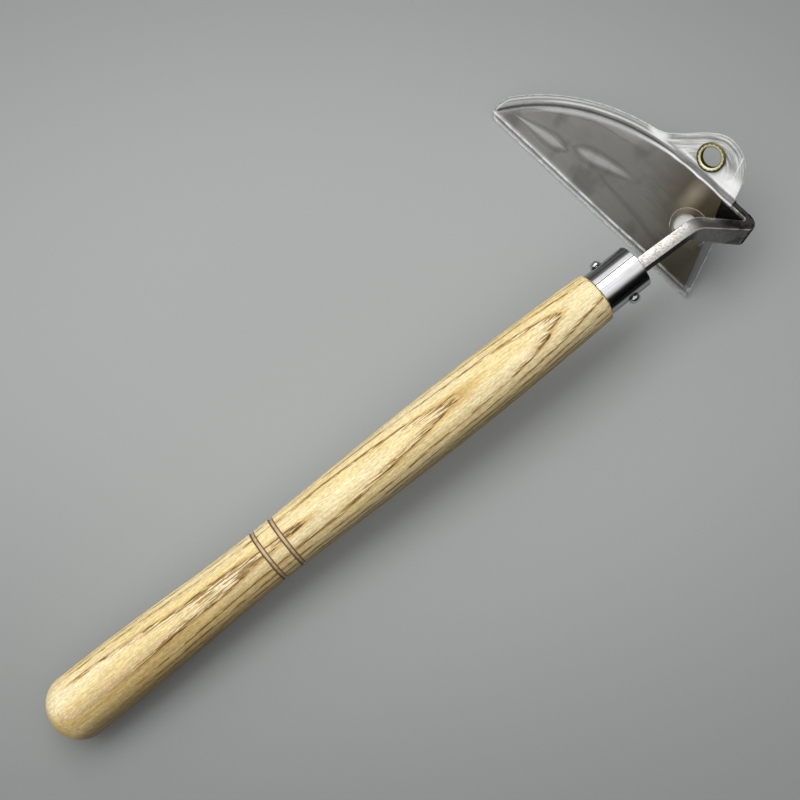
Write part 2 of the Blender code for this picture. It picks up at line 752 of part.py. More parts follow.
def build():
    for leftover in list(bpy.data.objects):
        bpy.data.objects.remove(leftover, do_unlink=True)
    wood = principled("pale hardwood", (0.72, 0.50, 0.26), 0.55)
    bright = principled("polished steel tube", (0.78, 0.78, 0.79), 0.12, 1.0)
    satin = principled("satin stainless bar", (0.62, 0.61, 0.58), 0.3, 1.0)
    plate = principled("brushed stainless plate", (0.36, 0.35, 0.33), 0.35, 1.0)
    film = principled("clear soft film", (0.85, 0.86, 0.87), 0.15, 0.0, 0.35)
    brass = principled("pale brass", (0.80, 0.72, 0.45), 0.25, 1.0)

    grip = handle_frame()
    blade = blade_frame(grip)
    holes = [nail_hole(grip, 1, "cut_left_nail"), nail_hole(grip, -1, "cut_right_nail")]
    held = [make_grip(grip, wood, holes), make_ferrule(grip, bright, holes),
            make_nail(grip, bright, 1, "ferrule_nail_left"),
            make_nail(grip, bright, -1, "ferrule_nail_right"),
            make_neck(grip, blade, satin, holes), make_blade(blade, plate),
            make_weld(blade, satin)]
    cover = make_cover(blade, film, brass)

    tools = [item for item in bpy.data.objects if item.name.startswith("cut_")]
    centre = base_centre(held + cover)
    slide = add_empty("cover_slide", blade)
    parent_to(slide, cover)
    root = add_empty("hoe", Matrix.Identity(4))
    parent_to(root, held + tools + [slide])
    root.location = -centre
    bpy.context.view_layer.update()
    report(root, slide, grip, blade, centre)


def report(root, slide, grip, blade, centre):
    """Prints the places that a record of this hoe needs."""
    up, along, out = blade_axes()
    flat = Vector((ferrule_front() + 0.4 * ARM_REACH, -NECK_ASIDE, 0.5 * BAR_WIDTH))
    eyelet = blade @ Vector((*eyelet_place(), 0.0))
    for name, point in (("cover slide", blade.translation), ("neck flat", grip @ flat),
                        ("eyelet", eyelet), ("elbow", elbow_point(grip))):
        print(name, [round(value, 6) for value in point - centre])
    print("along edge", [round(value, 6) for value in along])
    print("neck flat normal", [round(value, 6) for value in grip.to_3x3() @ Vector((0, 0, 1))])
    print("blade normal", [round(value, 6) for value in out])


build()
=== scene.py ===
from math import atan2, cos, hypot, pi, radians, sin, sqrt, tan

import bmesh
import bpy
from mathutils import Matrix, Vector, kdtree


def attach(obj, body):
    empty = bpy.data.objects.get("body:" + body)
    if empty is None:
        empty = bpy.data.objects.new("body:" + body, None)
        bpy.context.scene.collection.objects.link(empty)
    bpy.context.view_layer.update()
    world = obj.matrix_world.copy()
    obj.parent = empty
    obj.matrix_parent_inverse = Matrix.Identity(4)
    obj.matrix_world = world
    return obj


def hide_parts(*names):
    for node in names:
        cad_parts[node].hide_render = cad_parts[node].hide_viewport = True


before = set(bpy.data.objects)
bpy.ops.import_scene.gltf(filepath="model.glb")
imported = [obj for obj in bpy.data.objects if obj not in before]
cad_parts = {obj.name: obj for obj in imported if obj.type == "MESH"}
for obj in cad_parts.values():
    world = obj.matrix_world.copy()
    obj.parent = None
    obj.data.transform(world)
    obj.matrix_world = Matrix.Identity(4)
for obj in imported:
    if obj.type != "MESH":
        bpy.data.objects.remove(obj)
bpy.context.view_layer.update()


# Grip
# One length of pale ring-porous hardwood, turned on a lathe with a domed butt, a waist,
# a belly and two scored finger grooves. It is sanded, left bare, and its front end is
# turned down to a tenon that the ferrule goes over.

GRIP_LENGTH = 0.3211
BUTT_DOME = 0.014
# Distance from the butt's end, and the diameter there.
BUTT = (0.0295, 0.0315)
WAIST = (0.1235, 0.027)
BELLY = (0.227, 0.0298)
NOSE_DIAMETER = 0.0257
NOSE_ROUND = 0.0016
GROOVES = (0.1245, 0.1352)
GROOVE_WIDTH = 0.0023
GROOVE_DEPTH = 0.0009
COARSE_STEP = 0.0025
FINE_STEP = 0.00023
TENON_DIAMETER = 0.0199
TENON_LENGTH = 0.0226
TENON_CHAMFER = 0.0004
grip_frame = Matrix.Translation((-0.207892, -0.048863, 0.01447)) @ Matrix.Rotation(
    radians(-5.0), 4, "Y")
LATEWOOD = (0.86, 0.69, 0.345)
PALE_LATEWOOD = (0.91, 0.775, 0.475)
EARLYWOOD = (0.94, 0.81, 0.60)
OCHRE = (0.60, 0.395, 0.125)
PORE = (0.085, 0.042, 0.012)
SIDE_SHADE_TINT = (0.69, 0.63, 0.53)
DULL_SILK = (0.82, 0.785, 0.70)
BRIGHT_SILK = (1.14, 1.14, 1.12)
GROOVE_FLOOR = (0.47, 0.35, 0.22)
BURNT_LIP = (0.13, 0.065, 0.022)
RING_WIDTH = 0.0023
RING_START = 0.04377
RING_DRIFT = 0.0035
PITH_DEPTH = 0.034
PITH_LEAN = 0.0108
PITH_BOW = 0.0024
BUTT_BOW = 0.0019


def eased(start, end, share):
    return start + (end - start) * (0.5 - 0.5 * cos(pi * share))


def arc(x, y, wide, high, turns):
    """Points of an ellipse's arc, at angles in degrees that are counted from its y axis."""
    return [(x + wide * sin(radians(turn)), y + high * cos(radians(turn))) for turn in turns]


def grip_radius(along):
    """Radius of the turned grip at a distance from its butt, without the grooves."""
    station, diameter = BUTT
    if along < BUTT_DOME:
        drop = (BUTT_DOME - along) / BUTT_DOME
        return 0.5 * diameter * sqrt(max(0.0, 1.0 - drop * drop))
    for next_station, next_diameter in (WAIST, BELLY):
        if along < next_station:
            share = max(0.0, along - station) / (next_station - station)
            return 0.5 * eased(diameter, next_diameter, share)
        station, diameter = next_station, next_diameter
    share = (along - station) / (GRIP_LENGTH - station)
    return 0.5 * (diameter + (NOSE_DIAMETER - diameter) * share * share)


def groove_dip(along):
    """Depth of the scored grooves, round-bottomed, with soft lips."""
    dip = 0.0
    for groove in GROOVES:
        off = abs(along - groove) / (0.5 * GROOVE_WIDTH)
        if off < 1.0:
            dip = GROOVE_DEPTH * (1.0 - off ** 4)
    return dip


def grip_profile():
    stations = [BUTT_DOME * (1.0 - cos(radians(turn))) for turn in range(0, 90, 5)]
    at = BUTT_DOME
    while at < GRIP_LENGTH - NOSE_ROUND:
        stations.append(at)
        near = min(abs(at - groove) for groove in GROOVES)
        at += FINE_STEP if near < 0.5 * GROOVE_WIDTH + COARSE_STEP else COARSE_STEP
    points = [(at, grip_radius(at) - groove_dip(at)) for at in stations]
    nose_start = GRIP_LENGTH - NOSE_ROUND
    points += arc(nose_start, grip_radius(nose_start) - NOSE_ROUND, NOSE_ROUND, NOSE_ROUND,
                  range(0, 91, 15))
    tenon = 0.5 * TENON_DIAMETER
    tip = GRIP_LENGTH + TENON_LENGTH
    return points + [(GRIP_LENGTH, tenon), (tip - TENON_CHAMFER, tenon),
                     (tip, tenon - TENON_CHAMFER), (tip, 0.0)]


def facing_out(mesh):
    """Turns every face of a closed skin outward."""
    bmesh.ops.recalc_face_normals(mesh, faces=mesh.faces)
    return mesh


def sliced(mesh, point, normal):
    """Adds edges where a plane crosses the mesh."""
    bmesh.ops.bisect_plane(mesh, geom=mesh.verts[:] + mesh.edges[:] + mesh.faces[:],
                           plane_co=point, plane_no=normal, dist=1e-7)


def spun(points, steps):
    """Spins (along, radius) points about the local X axis into a closed skin."""
    mesh = bmesh.new()
    verts = [mesh.verts.new((along, 0.0, radius)) for along, radius in points]
    edges = [mesh.edges.new(pair) for pair in zip(verts, verts[1:])]
    bmesh.ops.spin(mesh, geom=verts + edges, cent=(0.0, 0.0, 0.0), axis=(1.0, 0.0, 0.0),
                   angle=2.0 * pi, steps=steps, use_merge=True)
    bmesh.ops.remove_doubles(mesh, verts=mesh.verts, dist=1e-7)
    return facing_out(mesh)


def stored(name, mesh):
    """Turns a bmesh into mesh data and frees it."""
    data = bpy.data.meshes.new(name)
    mesh.to_mesh(data)
    mesh.free()
    return data


def in_scene(name, data):
    """Puts mesh, curve, lamp or camera data into the scene as an object."""
    item = bpy.data.objects.new(name, data)
    bpy.context.scene.collection.objects.link(item)
    return item


def smoothed(data, sharp):
    data.shade_smooth()
    data.set_sharp_from_angle(angle=radians(sharp))


def finish_piece(name, mesh, place, material, body, slot, *nodes, sharp=30.0):
    bmesh.ops.transform(mesh, matrix=place, verts=mesh.verts)
    if mesh.calc_volume(signed=True) < 0.0:
        bmesh.ops.reverse_faces(mesh, faces=mesh.faces)
    data = stored(name, mesh)
    data.materials.append(material)
    smoothed(data, sharp)
    piece = in_scene(name, data)
    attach(piece, body)
    if nodes:
        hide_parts(*nodes)
    return piece


def join(value, socket):
    """Links a node's output to a socket, or sets a plain value or colour on it."""
    if isinstance(value, bpy.types.NodeSocket):
        socket.id_data.links.new(value, socket)
    elif socket.type == "RGBA":
        socket.default_value = (*value, 1.0)
    else:
        socket.default_value = value


def dress(shader, **looks):
    """Links or sets the shader's inputs, whose names have an underscore for each space."""
    for name, value in looks.items():
        join(value, shader.inputs[name.replace("_", " ")])


def new_material(name, roughness, metallic=0.0):
    """A material and its Principled shader."""
    material = bpy.data.materials.new(name)
    material.use_nodes = True
    shader = material.node_tree.nodes["Principled BSDF"]
    dress(shader, Roughness=roughness, Metallic=metallic)
    return material, shader


def node(kind, *values, **settings):
    """A node in the tree of the first linked value, with its inputs filled in their order."""
    tree = next(value.id_data for value in values if isinstance(value, bpy.types.NodeSocket))
    made = tree.nodes.new(kind)
    for setting, choice in settings.items():
        setattr(made, setting, choice)
    for value, socket in zip(values, made.inputs):
        if value is not None:
            join(value, socket)
    return made


def figure(operation, *values, clamp=False):
    return node("ShaderNodeMath", *values, operation=operation, use_clamp=clamp).outputs[0]


def gathered(operation, values):
    result = values[0]
    for value in values[1:]:
        result = figure(operation, result, value)
    return result


def times(*values):
    return gathered("MULTIPLY", values)


def plus(*values):
    return gathered("ADD", values)


def most(*values):
    return gathered("MAXIMUM", values)


def minus(first, second, clamp=False):
    return figure("SUBTRACT", first, second, clamp=clamp)


def rising(value, low, high, start=0.0, end=1.0):
    """A smooth rise from one value to another between low and high."""
    return node("ShaderNodeMapRange", value, low, high, start, end,
                interpolation_type="SMOOTHSTEP").outputs["Result"]


def ridge(value, centre, half, peak):
    """A soft line where a value passes its centre."""
    return rising(figure("ABSOLUTE", minus(value, centre)), 0.0, half, peak, 0.0)


def tinted(share, under, over, mode="MIX"):
    """A share of one colour over another. The mix node's colours are its seventh and eighth inputs."""
    unused = [None] * 5
    return node("ShaderNodeMix", share, *unused, under, over, data_type="RGBA",
                blend_type=mode).outputs[2]


def coated(colour, *coats):
    for share, tint in coats:
        colour = tinted(share, colour, tint)
    return colour


def own_place(shader, place):
    """Object coordinates turned into a piece's own frame."""
    coords = shader.id_data.nodes.new("ShaderNodeTexCoord")
    return node("ShaderNodeMapping", coords.outputs["Object"], place.to_translation(),
                place.to_euler(), vector_type="TEXTURE").outputs[0]


def axes(vector):
    return node("ShaderNodeSeparateXYZ", vector).outputs


def in_plane(x, y):
    return node("ShaderNodeCombineXYZ", x, y).outputs[0]


def away_from(vector, spot=(0.0, 0.0, 0.0)):
    return node("ShaderNodeVectorMath", vector, spot, operation="DISTANCE").outputs["Value"]


def stretched(vector, scale, shift=(0.0, 0.0, 0.0)):
    return node("ShaderNodeMapping", vector, shift, None, scale).outputs[0]


def cloudy(place, scale, detail=3.0, rough=0.6, shift=(0.0, 0.0, 0.0), output="Fac"):
    """Noise that has its own scale along each axis of a piece."""
    noise = node("ShaderNodeTexNoise", stretched(place, scale, shift))
    for name, value in (("Scale", 1.0), ("Detail", detail), ("Roughness", rough)):
        join(value, noise.inputs[name])
    return noise.outputs[output]


def bumped(shader, height, depth, strength):
    bump = shader.id_data.nodes.new("ShaderNodeBump")
    dress(bump, Distance=depth, Strength=strength, Height=height)
    dress(shader, Normal=bump.outputs["Normal"])


def growth_rings(place, along):
    """How far a point is through its year's ring, round a leaning and slightly bowed pith."""
    drift = cloudy(place, (9.0, 55.0, 55.0), 2.0, 0.5, output="Color")
    drifted = node("ShaderNodeVectorMath", drift, (0.0, RING_DRIFT, RING_DRIFT), place,
                   operation="MULTIPLY_ADD").outputs[0]
    apart = away_from(stretched(drifted, (0.0, 1.0, 1.0), (0.0, 0.0, PITH_DEPTH)))
    bow = plus(times(along, -PITH_LEAN), rising(along, 0.150, 0.241, 0.0, -PITH_BOW),
               rising(along, 0.015, 0.125, -BUTT_BOW, 0.0))
    return figure("FRACT", figure("DIVIDE", minus(plus(apart, bow), RING_START), RING_WIDTH))


def scored_grooves(along, colour):
    """The lathe tool's heat browns the grooves' lips and leaves the floor paler."""
    for groove in GROOVES:
        off = figure("ABSOLUTE", minus(along, groove))
        colour = coated(colour, (rising(off, 0.0007, 0.0010, 0.75, 0.0), GROOVE_FLOOR),
                        (rising(figure("ABSOLUTE", minus(off, 0.42 * GROOVE_WIDTH)),
                                0.00015, 0.00060, 0.90, 0.0), BURNT_LIP))
    return colour


def hardwood():
    """Pale rings with brown borders, rows of dark pores, silky flecks and painted shade on one side.
    """
    material, shader = new_material("turned pale hardwood", 0.52)
    place = own_place(shader, grip_frame)
    along, across, _ = axes(place)
    year = growth_rings(place, along)
    band = rising(year, 0.0, 0.42, 1.0, 0.0)
    line = most(rising(year, 0.0, 0.09, 1.0, 0.0), rising(year, 0.93, 1.0))
    grained = cloudy(place, (95.0, 1500.0, 1500.0), 2.0)
    strands = cloudy(place, (60.0, 1000.0, 1000.0), shift=(3.0, 0.0, 0.0))
    flecks = cloudy(place, (420.0, 1700.0, 1700.0), 3.0, 0.7)
    broad = cloudy(place, (11.0, 90.0, 90.0), 1.0, 0.5, (5.0, 0.0, 0.0))
    fresh = most(rising(along, 0.012, 0.075, 0.10, 1.0),
                 times(rising(across, 0.002, 0.006), rising(along, 0.012, 0.026)))
    border = most(rising(year, 0.0, 0.12, 0.75, 0.0), rising(year, 0.80, 1.0, 0.0, 0.75))
    pores = times(rising(grained, 0.47, 0.52), band, 0.72)
    dark = times(line, rising(strands, 0.43, 0.55), rising(grained, 0.42, 0.52, 0.30, 1.0), 0.97)
    dark = times(most(dark, pores), fresh)
    colour = tinted(rising(broad, 0.35, 0.65), LATEWOOD, PALE_LATEWOOD)
    colour = coated(colour, (times(band, 0.80), EARLYWOOD), (times(border, fresh), OCHRE),
                    (rising(dark, 0.0, 0.5, 0.0, 0.9), OCHRE), (rising(dark, 0.25, 0.95), PORE))
    # Random tone from the strands, times a painted shade that darkens the side away from the lamp.
    shade = times(rising(strands, 0.32, 0.68, 0.83, 1.07),
                  rising(across, -0.0150, -0.0100, 0.52, 1.0))
    # Painted shade: a warm darker tint on the side away from the lamp, reaching further round and
    # stronger towards the butt.
    side = minus(across, rising(along, 0.02, 0.19, 0.0045, 0.0))
    painted_side_shade = times(rising(side, -0.011, -0.001, 1.0, 0.0), rising(along, 0.05, 0.25, 1.0, 0.30))
    silk = tinted(rising(flecks, 0.34, 0.66), DULL_SILK, BRIGHT_SILK)
    for share, tint in ((1.0, shade), (painted_side_shade, SIDE_SHADE_TINT), (1.0, silk)):
        colour = tinted(share, colour, tint, "MULTIPLY")
    colour = scored_grooves(along, colour)
    # Painted shade: an ochre darkening round the tip of the butt's dome.
    colour = tinted(rising(along, 0.0020, 0.0065, 0.75, 0.0), colour, OCHRE)
    dress(shader, Base_Color=colour, Roughness=rising(strands, 0.3, 0.7, 0.44, 0.60),
          Specular_IOR_Level=0.25)
    bumped(shader, plus(times(strands, 0.4), times(dark, -0.8), times(flecks, 0.15)), 0.00025, 0.6)
    return material


finish_piece("turned_grip", spun(grip_profile(), 128), grip_frame, hardwood(), "hoe",
             "pale_hardwood", "handle")


# Ferrule
# A short tube rolled from bright steel sheet and closed along a fine lengthwise seam.
# It is pushed over the grip's tenon up to the shoulder, and its ends are rounded over.

FERRULE_START = 0.3214
FERRULE_LENGTH = 0.0233
FERRULE_DIAMETER = 0.0225
FERRULE_WALL = 0.001
FERRULE_ROUND = 0.00035
SEAM_TURN = radians(13.6)
SEAM_HALF = 0.0002
SEAM_DEPTH = 0.0004
FERRULE_GREY = (0.64, 0.64, 0.65)
FERRULE_BRIGHT = (0.80, 0.80, 0.81)
SEAM_SHADE = (0.05, 0.05, 0.05)
UNLIT = (0.0, 0.0, 0.0)


def ferrule_mesh():
    outer = 0.5 * FERRULE_DIAMETER
    inner = outer - FERRULE_WALL
    end = FERRULE_START + FERRULE_LENGTH
    rounding = arc(FERRULE_ROUND, FERRULE_ROUND, -FERRULE_ROUND, -FERRULE_ROUND, range(0, 91, 18))
    back = sorted((FERRULE_START + x, outer - y) for x, y in rounding)
    front = sorted((end - x, outer - y) for x, y in rounding)
    middle = [(FERRULE_START + FERRULE_LENGTH * share, outer) for share in (0.25, 0.5, 0.75)]
    points = [(FERRULE_START, inner)] + back + middle + front + [(end, inner)]
    points.append(points[0])
    mesh = spun(points, 96)
    across = Vector((0.0, cos(SEAM_TURN), -sin(SEAM_TURN)))
    outward = Vector((0.0, sin(SEAM_TURN), cos(SEAM_TURN)))
    for shift in (-SEAM_HALF, 0.0, SEAM_HALF):
        sliced(mesh, across * shift, across)
    for vert in mesh.verts:
        off = vert.co.dot(across)
        out = vert.co.dot(outward)
        if abs(off) < 1e-6 and out > inner + 0.3 * FERRULE_WALL:
            vert.co -= outward * SEAM_DEPTH
    return mesh


def bright_steel():
    """Polished tube, with painted dark reflections along both sides, where it mirrors the unlit part
    of the room.
    """
    material, shader = new_material("polished steel tube", 0.12, 1.0)
    place = own_place(shader, grip_frame)
    _, y, z = axes(place)
    streaks = cloudy(place, (90.0, 2600.0, 2600.0))
    smears = cloudy(place, (160.0, 220.0, 220.0))
    across = minus(times(y, cos(SEAM_TURN)), times(z, sin(SEAM_TURN)))
    seam = times(rising(figure("ABSOLUTE", across), 0.00018, 0.00042, 0.92, 0.0),
                 rising(z, 0.0, 0.002))
    # Painted reflection: black bands along both sides of the tube, coloured into the steel.
    near_board = most(rising(y, -0.0104, -0.0097, 0.75, 0.05), rising(y, -0.0086, -0.0078))
    far_side = most(rising(y, 0.0068, 0.0077, 1.0, 0.40), rising(y, 0.0088, 0.0095, 0.0, 0.80))
    colour = tinted(rising(streaks, 0.3, 0.7), FERRULE_GREY, FERRULE_BRIGHT)
    colour = tinted(seam, colour, SEAM_SHADE)
    colour = tinted(times(near_board, far_side), UNLIT, colour)
    rough = plus(rising(streaks, 0.3, 0.8, 0.06, 0.13), rising(smears, 0.45, 0.75, 0.0, 0.08))
    dress(shader, Base_Color=colour, Specular_Tint=colour, Roughness=rough)
    bumped(shader, streaks, 0.00003, 0.35)
    return material


finish_piece("rolled_ferrule", ferrule_mesh(), grip_frame, bright_steel(), "hoe", "bright_steel",
             "ferrule")


# Ferrule nails
# Two small round-headed steel nails, driven in from both sides a few millimetres apart.
# They go through the ferrule, the tenon and the tang, and keep all three together.

NAIL_STATIONS = ((1.0, 0.3302, "left"), (-1.0, 0.3343, "right"))
NAIL_SEAT = 0.01155
NAIL_HEAD = 0.0060
NAIL_DOME = 0.0028
NAIL_SHANK = 0.0022
NAIL_LENGTH = 0.015
NAIL_POINT = 0.003
NAIL_RIM = 0.0002
NAIL_CHAMFER = 0.0003
NAIL_BRIGHT = (0.66, 0.66, 0.66)
NAIL_DULL = (0.45, 0.44, 0.43)


def nail_mesh():
    tip = NAIL_SEAT - NAIL_LENGTH
    shank = 0.5 * NAIL_SHANK
    head = 0.5 * NAIL_HEAD
    points = [(tip, 0.0), (tip + NAIL_POINT, shank), (NAIL_SEAT - NAIL_RIM, shank),
              (NAIL_SEAT, head - NAIL_CHAMFER), (NAIL_SEAT + NAIL_RIM, head)]
    dome = arc(NAIL_SEAT + NAIL_RIM, 0.0, NAIL_DOME - NAIL_RIM, head, range(15, 90, 9))
    return spun(points + dome + [(NAIL_SEAT + NAIL_DOME, 0.0)], 32)


def nail_steel():
    material, shader = new_material("bright nail steel", 0.16, 1.0)
    hammered = cloudy(own_place(shader, grip_frame), (900.0, 900.0, 900.0), 2.0, 0.5)
    dress(shader, Base_Color=tinted(rising(hammered, 0.4, 0.7), NAIL_BRIGHT, NAIL_DULL))
    bumped(shader, hammered, 0.0001, 0.5)
    return material


nail_finish = nail_steel()
for side, station, word in NAIL_STATIONS:
    spot = grip_frame @ Matrix.Translation((station, 0.0, 0.0)) @ Matrix.Rotation(
        side * radians(90.0), 4, "Z")
    finish_piece("domed_nail_" + word, nail_mesh(), spot, nail_finish, "hoe", "bright_steel",
                 "ferrule_nail_" + word)


# Neck
# One flat stainless bar. Its tapered tang is driven into the grip. Outside the ferrule it
# is bent at the elbow, twisted over the second arm and folded back on itself, and its end
# is drawn out to a tongue that lies under the blade.

BAR_THICKNESS = 0.0067
BAR_WIDTH = 0.0105
BAR_ROUND = 0.0006
FERRULE_FRONT = FERRULE_START + FERRULE_LENGTH
TANG_LENGTH = 0.085
NECK_ASIDE = 0.0014
ARM_REACH = 0.0328
ELBOW_ASIDE = 0.0011
ELBOW_RADIUS = 0.010
ELBOW_ROLL = radians(10.0)
FOLD_RADIUS = 0.004
FOLD_OVERHANG = 0.0073
TONGUE_END = 0.040
TONGUE_TIP_WIDTH = 0.006
TONGUE_TIP_THICKNESS = 0.0012
BLADE_WIDTH = 0.0502
BLADE_THICKNESS = 0.002
HEEL_LEAN = 0.015
BLADE_SLOPE = radians(50.0)
BLADE_TURN = radians(5.86)
GAP = 0.0003
TANG_END = (0.004, 0.0055)
FOLD_INSIDE = (0.045, 0.006, 0.002)
BENT_FROM = FERRULE_FRONT + 0.023
BENT_TO = FERRULE_FRONT + 0.032
LIT_TOP = ((0.40, 0.39, 0.365), (0.23, 0.222, 0.20))
SHADED_SIDE = ((0.20, 0.195, 0.185), (0.13, 0.127, 0.12))
DARKER_PAST_ELBOW = ((0.30, 0.295, 0.28), (0.23, 0.225, 0.21))
CORNER_HIGHLIGHT = (0.60, 0.59, 0.56)
CORNER_SHADE = (0.02, 0.02, 0.018)
MILL_SCALE = (0.07, 0.065, 0.06)
FOLD_SHADE_AND_OXIDE = (0.008, 0.006, 0.005)
heel = Vector((0.162874, -0.066063, 0.00262))
edge_line = Vector((-sin(BLADE_TURN), cos(BLADE_TURN), 0.0))
blade_up = Vector((cos(BLADE_TURN) * cos(BLADE_SLOPE),
                   sin(BLADE_TURN) * cos(BLADE_SLOPE), sin(BLADE_SLOPE)))
blade_out = blade_up.cross(edge_line)
blade_frame = Matrix((blade_up, edge_line, blade_out)).transposed().to_4x4()
blade_frame.translation = heel


def bend(corner, before, after, radius, steps):
    """Points and directions round a bend between two straight runs."""
    turn = before.angle(after)
    axis = before.cross(after).normalized()
    start = corner - before * radius * tan(0.5 * turn)
    inward = axis.cross(before)
    centre = start + inward * radius
    placed = []
    for step in range(steps + 1):
        rotation = Matrix.Rotation(turn * step / steps, 3, axis)
        placed.append((centre - rotation @ inward * radius, rotation @ before))
    return placed


def squared(wide, direction):
    return (wide - direction * wide.dot(direction)).normalized()


def tongue_size(along):
    """Depth and width of the tongue, which tapers from the heel to its end."""
    share = min(1.0, max(0.0, (along - HEEL_LEAN) / (TONGUE_END - HEEL_LEAN)))
    tip_depth = BLADE_THICKNESS + GAP + TONGUE_TIP_THICKNESS
    return (BAR_THICKNESS + (tip_depth - BAR_THICKNESS) * share,
            BAR_WIDTH + (TONGUE_TIP_WIDTH - BAR_WIDTH) * share)


def neck_stations():
    """Centre, run, width direction, thickness and width down the length of the bar."""
    run = (grip_frame.to_3x3() @ Vector((1.0, 0.0, 0.0))).normalized()
    leaning = (grip_frame.to_3x3() @ Vector((ARM_REACH, -ELBOW_ASIDE, 0.0))).normalized()
    upright = (grip_frame.to_3x3() @ Vector((0.0, 0.0, 1.0))).normalized()
    rolled = Matrix.Rotation(-ELBOW_ROLL, 3, run) @ upright
    elbow = grip_frame @ Vector((FERRULE_FRONT + ARM_REACH, -NECK_ASIDE - ELBOW_ASIDE, 0.0))
    middle_up = BLADE_WIDTH - 0.5 * BAR_WIDTH
    fold = blade_frame @ Vector((middle_up, -FOLD_OVERHANG, -0.5 * BAR_THICKNESS))
    second = (fold - elbow).normalized()
    full = (BAR_THICKNESS, BAR_WIDTH)
    placed = [(grip_frame @ Vector((FERRULE_FRONT - TANG_LENGTH, -NECK_ASIDE, 0.0)), run, upright,
               *TANG_END)]
    for at in (-0.001, 0.008, 0.016):
        aside = NECK_ASIDE + ELBOW_ASIDE * max(0.0, at) / ARM_REACH
        placed.append((grip_frame @ Vector((FERRULE_FRONT + at, -aside, 0.0)), leaning,
                       squared(upright, leaning), *full))
    elbow_bend = bend(elbow, leaning, second, ELBOW_RADIUS, 14)
    fold_bend = bend(fold, second, edge_line, FOLD_RADIUS, 18)
    turn_axis = leaning.cross(second).normalized()
    whole_turn = leaning.angle(second)
    leaving = squared(Matrix.Rotation(whole_turn, 3, turn_axis) @ rolled, second)
    arriving = squared(blade_up, second)
    for step, (point, direction) in enumerate(elbow_bend):
        share = step / (len(elbow_bend) - 1)
        wide = Matrix.Rotation(whole_turn * share, 3, turn_axis) @ upright.lerp(rolled, share)
        placed.append((point, direction, squared(wide, direction), *full))
    for step in range(1, 6):
        share = step / 6.0
        placed.append((elbow_bend[-1][0].lerp(fold_bend[0][0], share), second,
                       squared(leaving.lerp(arriving, share), second), *full))
    for step, (point, direction) in enumerate(fold_bend):
        share = step / (len(fold_bend) - 1)
        placed.append((point, direction, squared(arriving.lerp(blade_up, share), direction), *full))
    for step in range(9):
        at = HEEL_LEAN + (TONGUE_END - HEEL_LEAN) * step / 8.0
        depth, width = tongue_size(at)
        placed.append((blade_frame @ Vector((BLADE_WIDTH - 0.5 * width, at, -0.5 * depth)),
                       edge_line, blade_up, depth, width))
    return placed


def rounded_bar(thickness, width):
    """Edge ring of a flat bar's section, with its four corners rounded."""
    mesh = bmesh.new()
    corners = [mesh.verts.new((x * 0.5 * thickness, y * 0.5 * width, 0.0))
               for x, y in ((1, 1), (-1, 1), (-1, -1), (1, -1))]
    mesh.faces.new(corners)
    bmesh.ops.bevel(mesh, geom=mesh.verts[:], offset=BAR_ROUND, offset_type="OFFSET",
                    affect="VERTICES", segments=3, profile=0.5, material=-1)
    marks = mesh.verts.layers.float.new("corner")
    for vert in mesh.verts:
        inset = 0.5 * thickness - abs(vert.co.x), 0.5 * width - abs(vert.co.y)
        vert[marks] = 1.0 if max(inset) < 0.8 * BAR_ROUND else 0.0
    return mesh


def station_frame(point, direction, wide, thickness, width):
    thin = direction.cross(wide).normalized()
    place = Matrix((thin, wide, direction)).transposed().to_4x4()
    place.translation = point
    return place @ Matrix.Diagonal((thickness / BAR_THICKNESS, width / BAR_WIDTH, 1.0, 1.0))


def extruded(mesh, faces):
    """Extrudes faces in place and returns the new faces and the new points."""
    grown = bmesh.ops.extrude_face_region(mesh, geom=faces)["geom"]
    return ([item for item in grown if isinstance(item, bmesh.types.BMFace)],
            [item for item in grown if isinstance(item, bmesh.types.BMVert)])


def swept(mesh, places):
    """Draws a mesh's one face through a row of places, as a solid that is closed at both ends."""
    bmesh.ops.transform(mesh, matrix=places[0], verts=mesh.verts)
    front = mesh.faces[:]
    for before, after in zip(places, places[1:]):
        front, moved = extruded(mesh, front)
        bmesh.ops.transform(mesh, matrix=after @ before.inverted(), verts=moved)
    inner = [face for face in mesh.faces if all(len(edge.link_faces) > 2 for edge in face.edges)]
    bmesh.ops.delete(mesh, geom=inner, context="FACES_ONLY")
    return facing_out(mesh)


def neck_mesh():
    places = [station_frame(*station) for station in neck_stations()]
    return swept(rounded_bar(BAR_THICKNESS, BAR_WIDTH), places)


def cutter(points, low, high):
    """A prism in the blade's frame, from (up, along) points, between two heights."""
    mesh = bmesh.new()
    face = mesh.faces.new([mesh.verts.new((up, at, low)) for up, at in points])
    bmesh.ops.translate(mesh, vec=(0.0, 0.0, high - low), verts=extruded(mesh, [face])[1])
    bmesh.ops.transform(facing_out(mesh), matrix=blade_frame, verts=mesh.verts)
    return in_scene("cutter", stored("cutter", mesh))


def blade_seat():
    """The slab that the blade lies in, which is cut out of the top of the tongue."""
    low = BLADE_WIDTH - 2.0 * BAR_WIDTH
    high = BLADE_WIDTH + BAR_WIDTH
    lean = HEEL_LEAN / BLADE_WIDTH
    corners = [(low, low * lean - GAP), (high, high * lean - GAP), (high, 2.0 * TONGUE_END),
               (low, 2.0 * TONGUE_END)]
    return cutter(corners, -BLADE_THICKNESS - GAP, BLADE_THICKNESS)


def evaluated(item):
    """A mesh of an object as it is with its modifiers, or of a curve with its thickness."""
    bpy.context.view_layer.update()
    graph = bpy.context.evaluated_depsgraph_get()
    return bpy.data.meshes.new_from_object(item.evaluated_get(graph))


def cut(piece, tool, operation="DIFFERENCE"):
    """Cuts one object with another, keeps the result and throws the cutter away."""
    modifier = piece.modifiers.new("cut", "BOOLEAN")
    modifier.operation = operation
    modifier.object = tool
    result = evaluated(piece)
    piece.modifiers.clear()
    piece.data = result
    bpy.data.objects.remove(tool)


def stored_mark(shader, name):
    """A number that the mesh stores at each of its points."""
    mark = shader.id_data.nodes.new("ShaderNodeAttribute")
    mark.attribute_name = name
    return mark.outputs["Fac"]


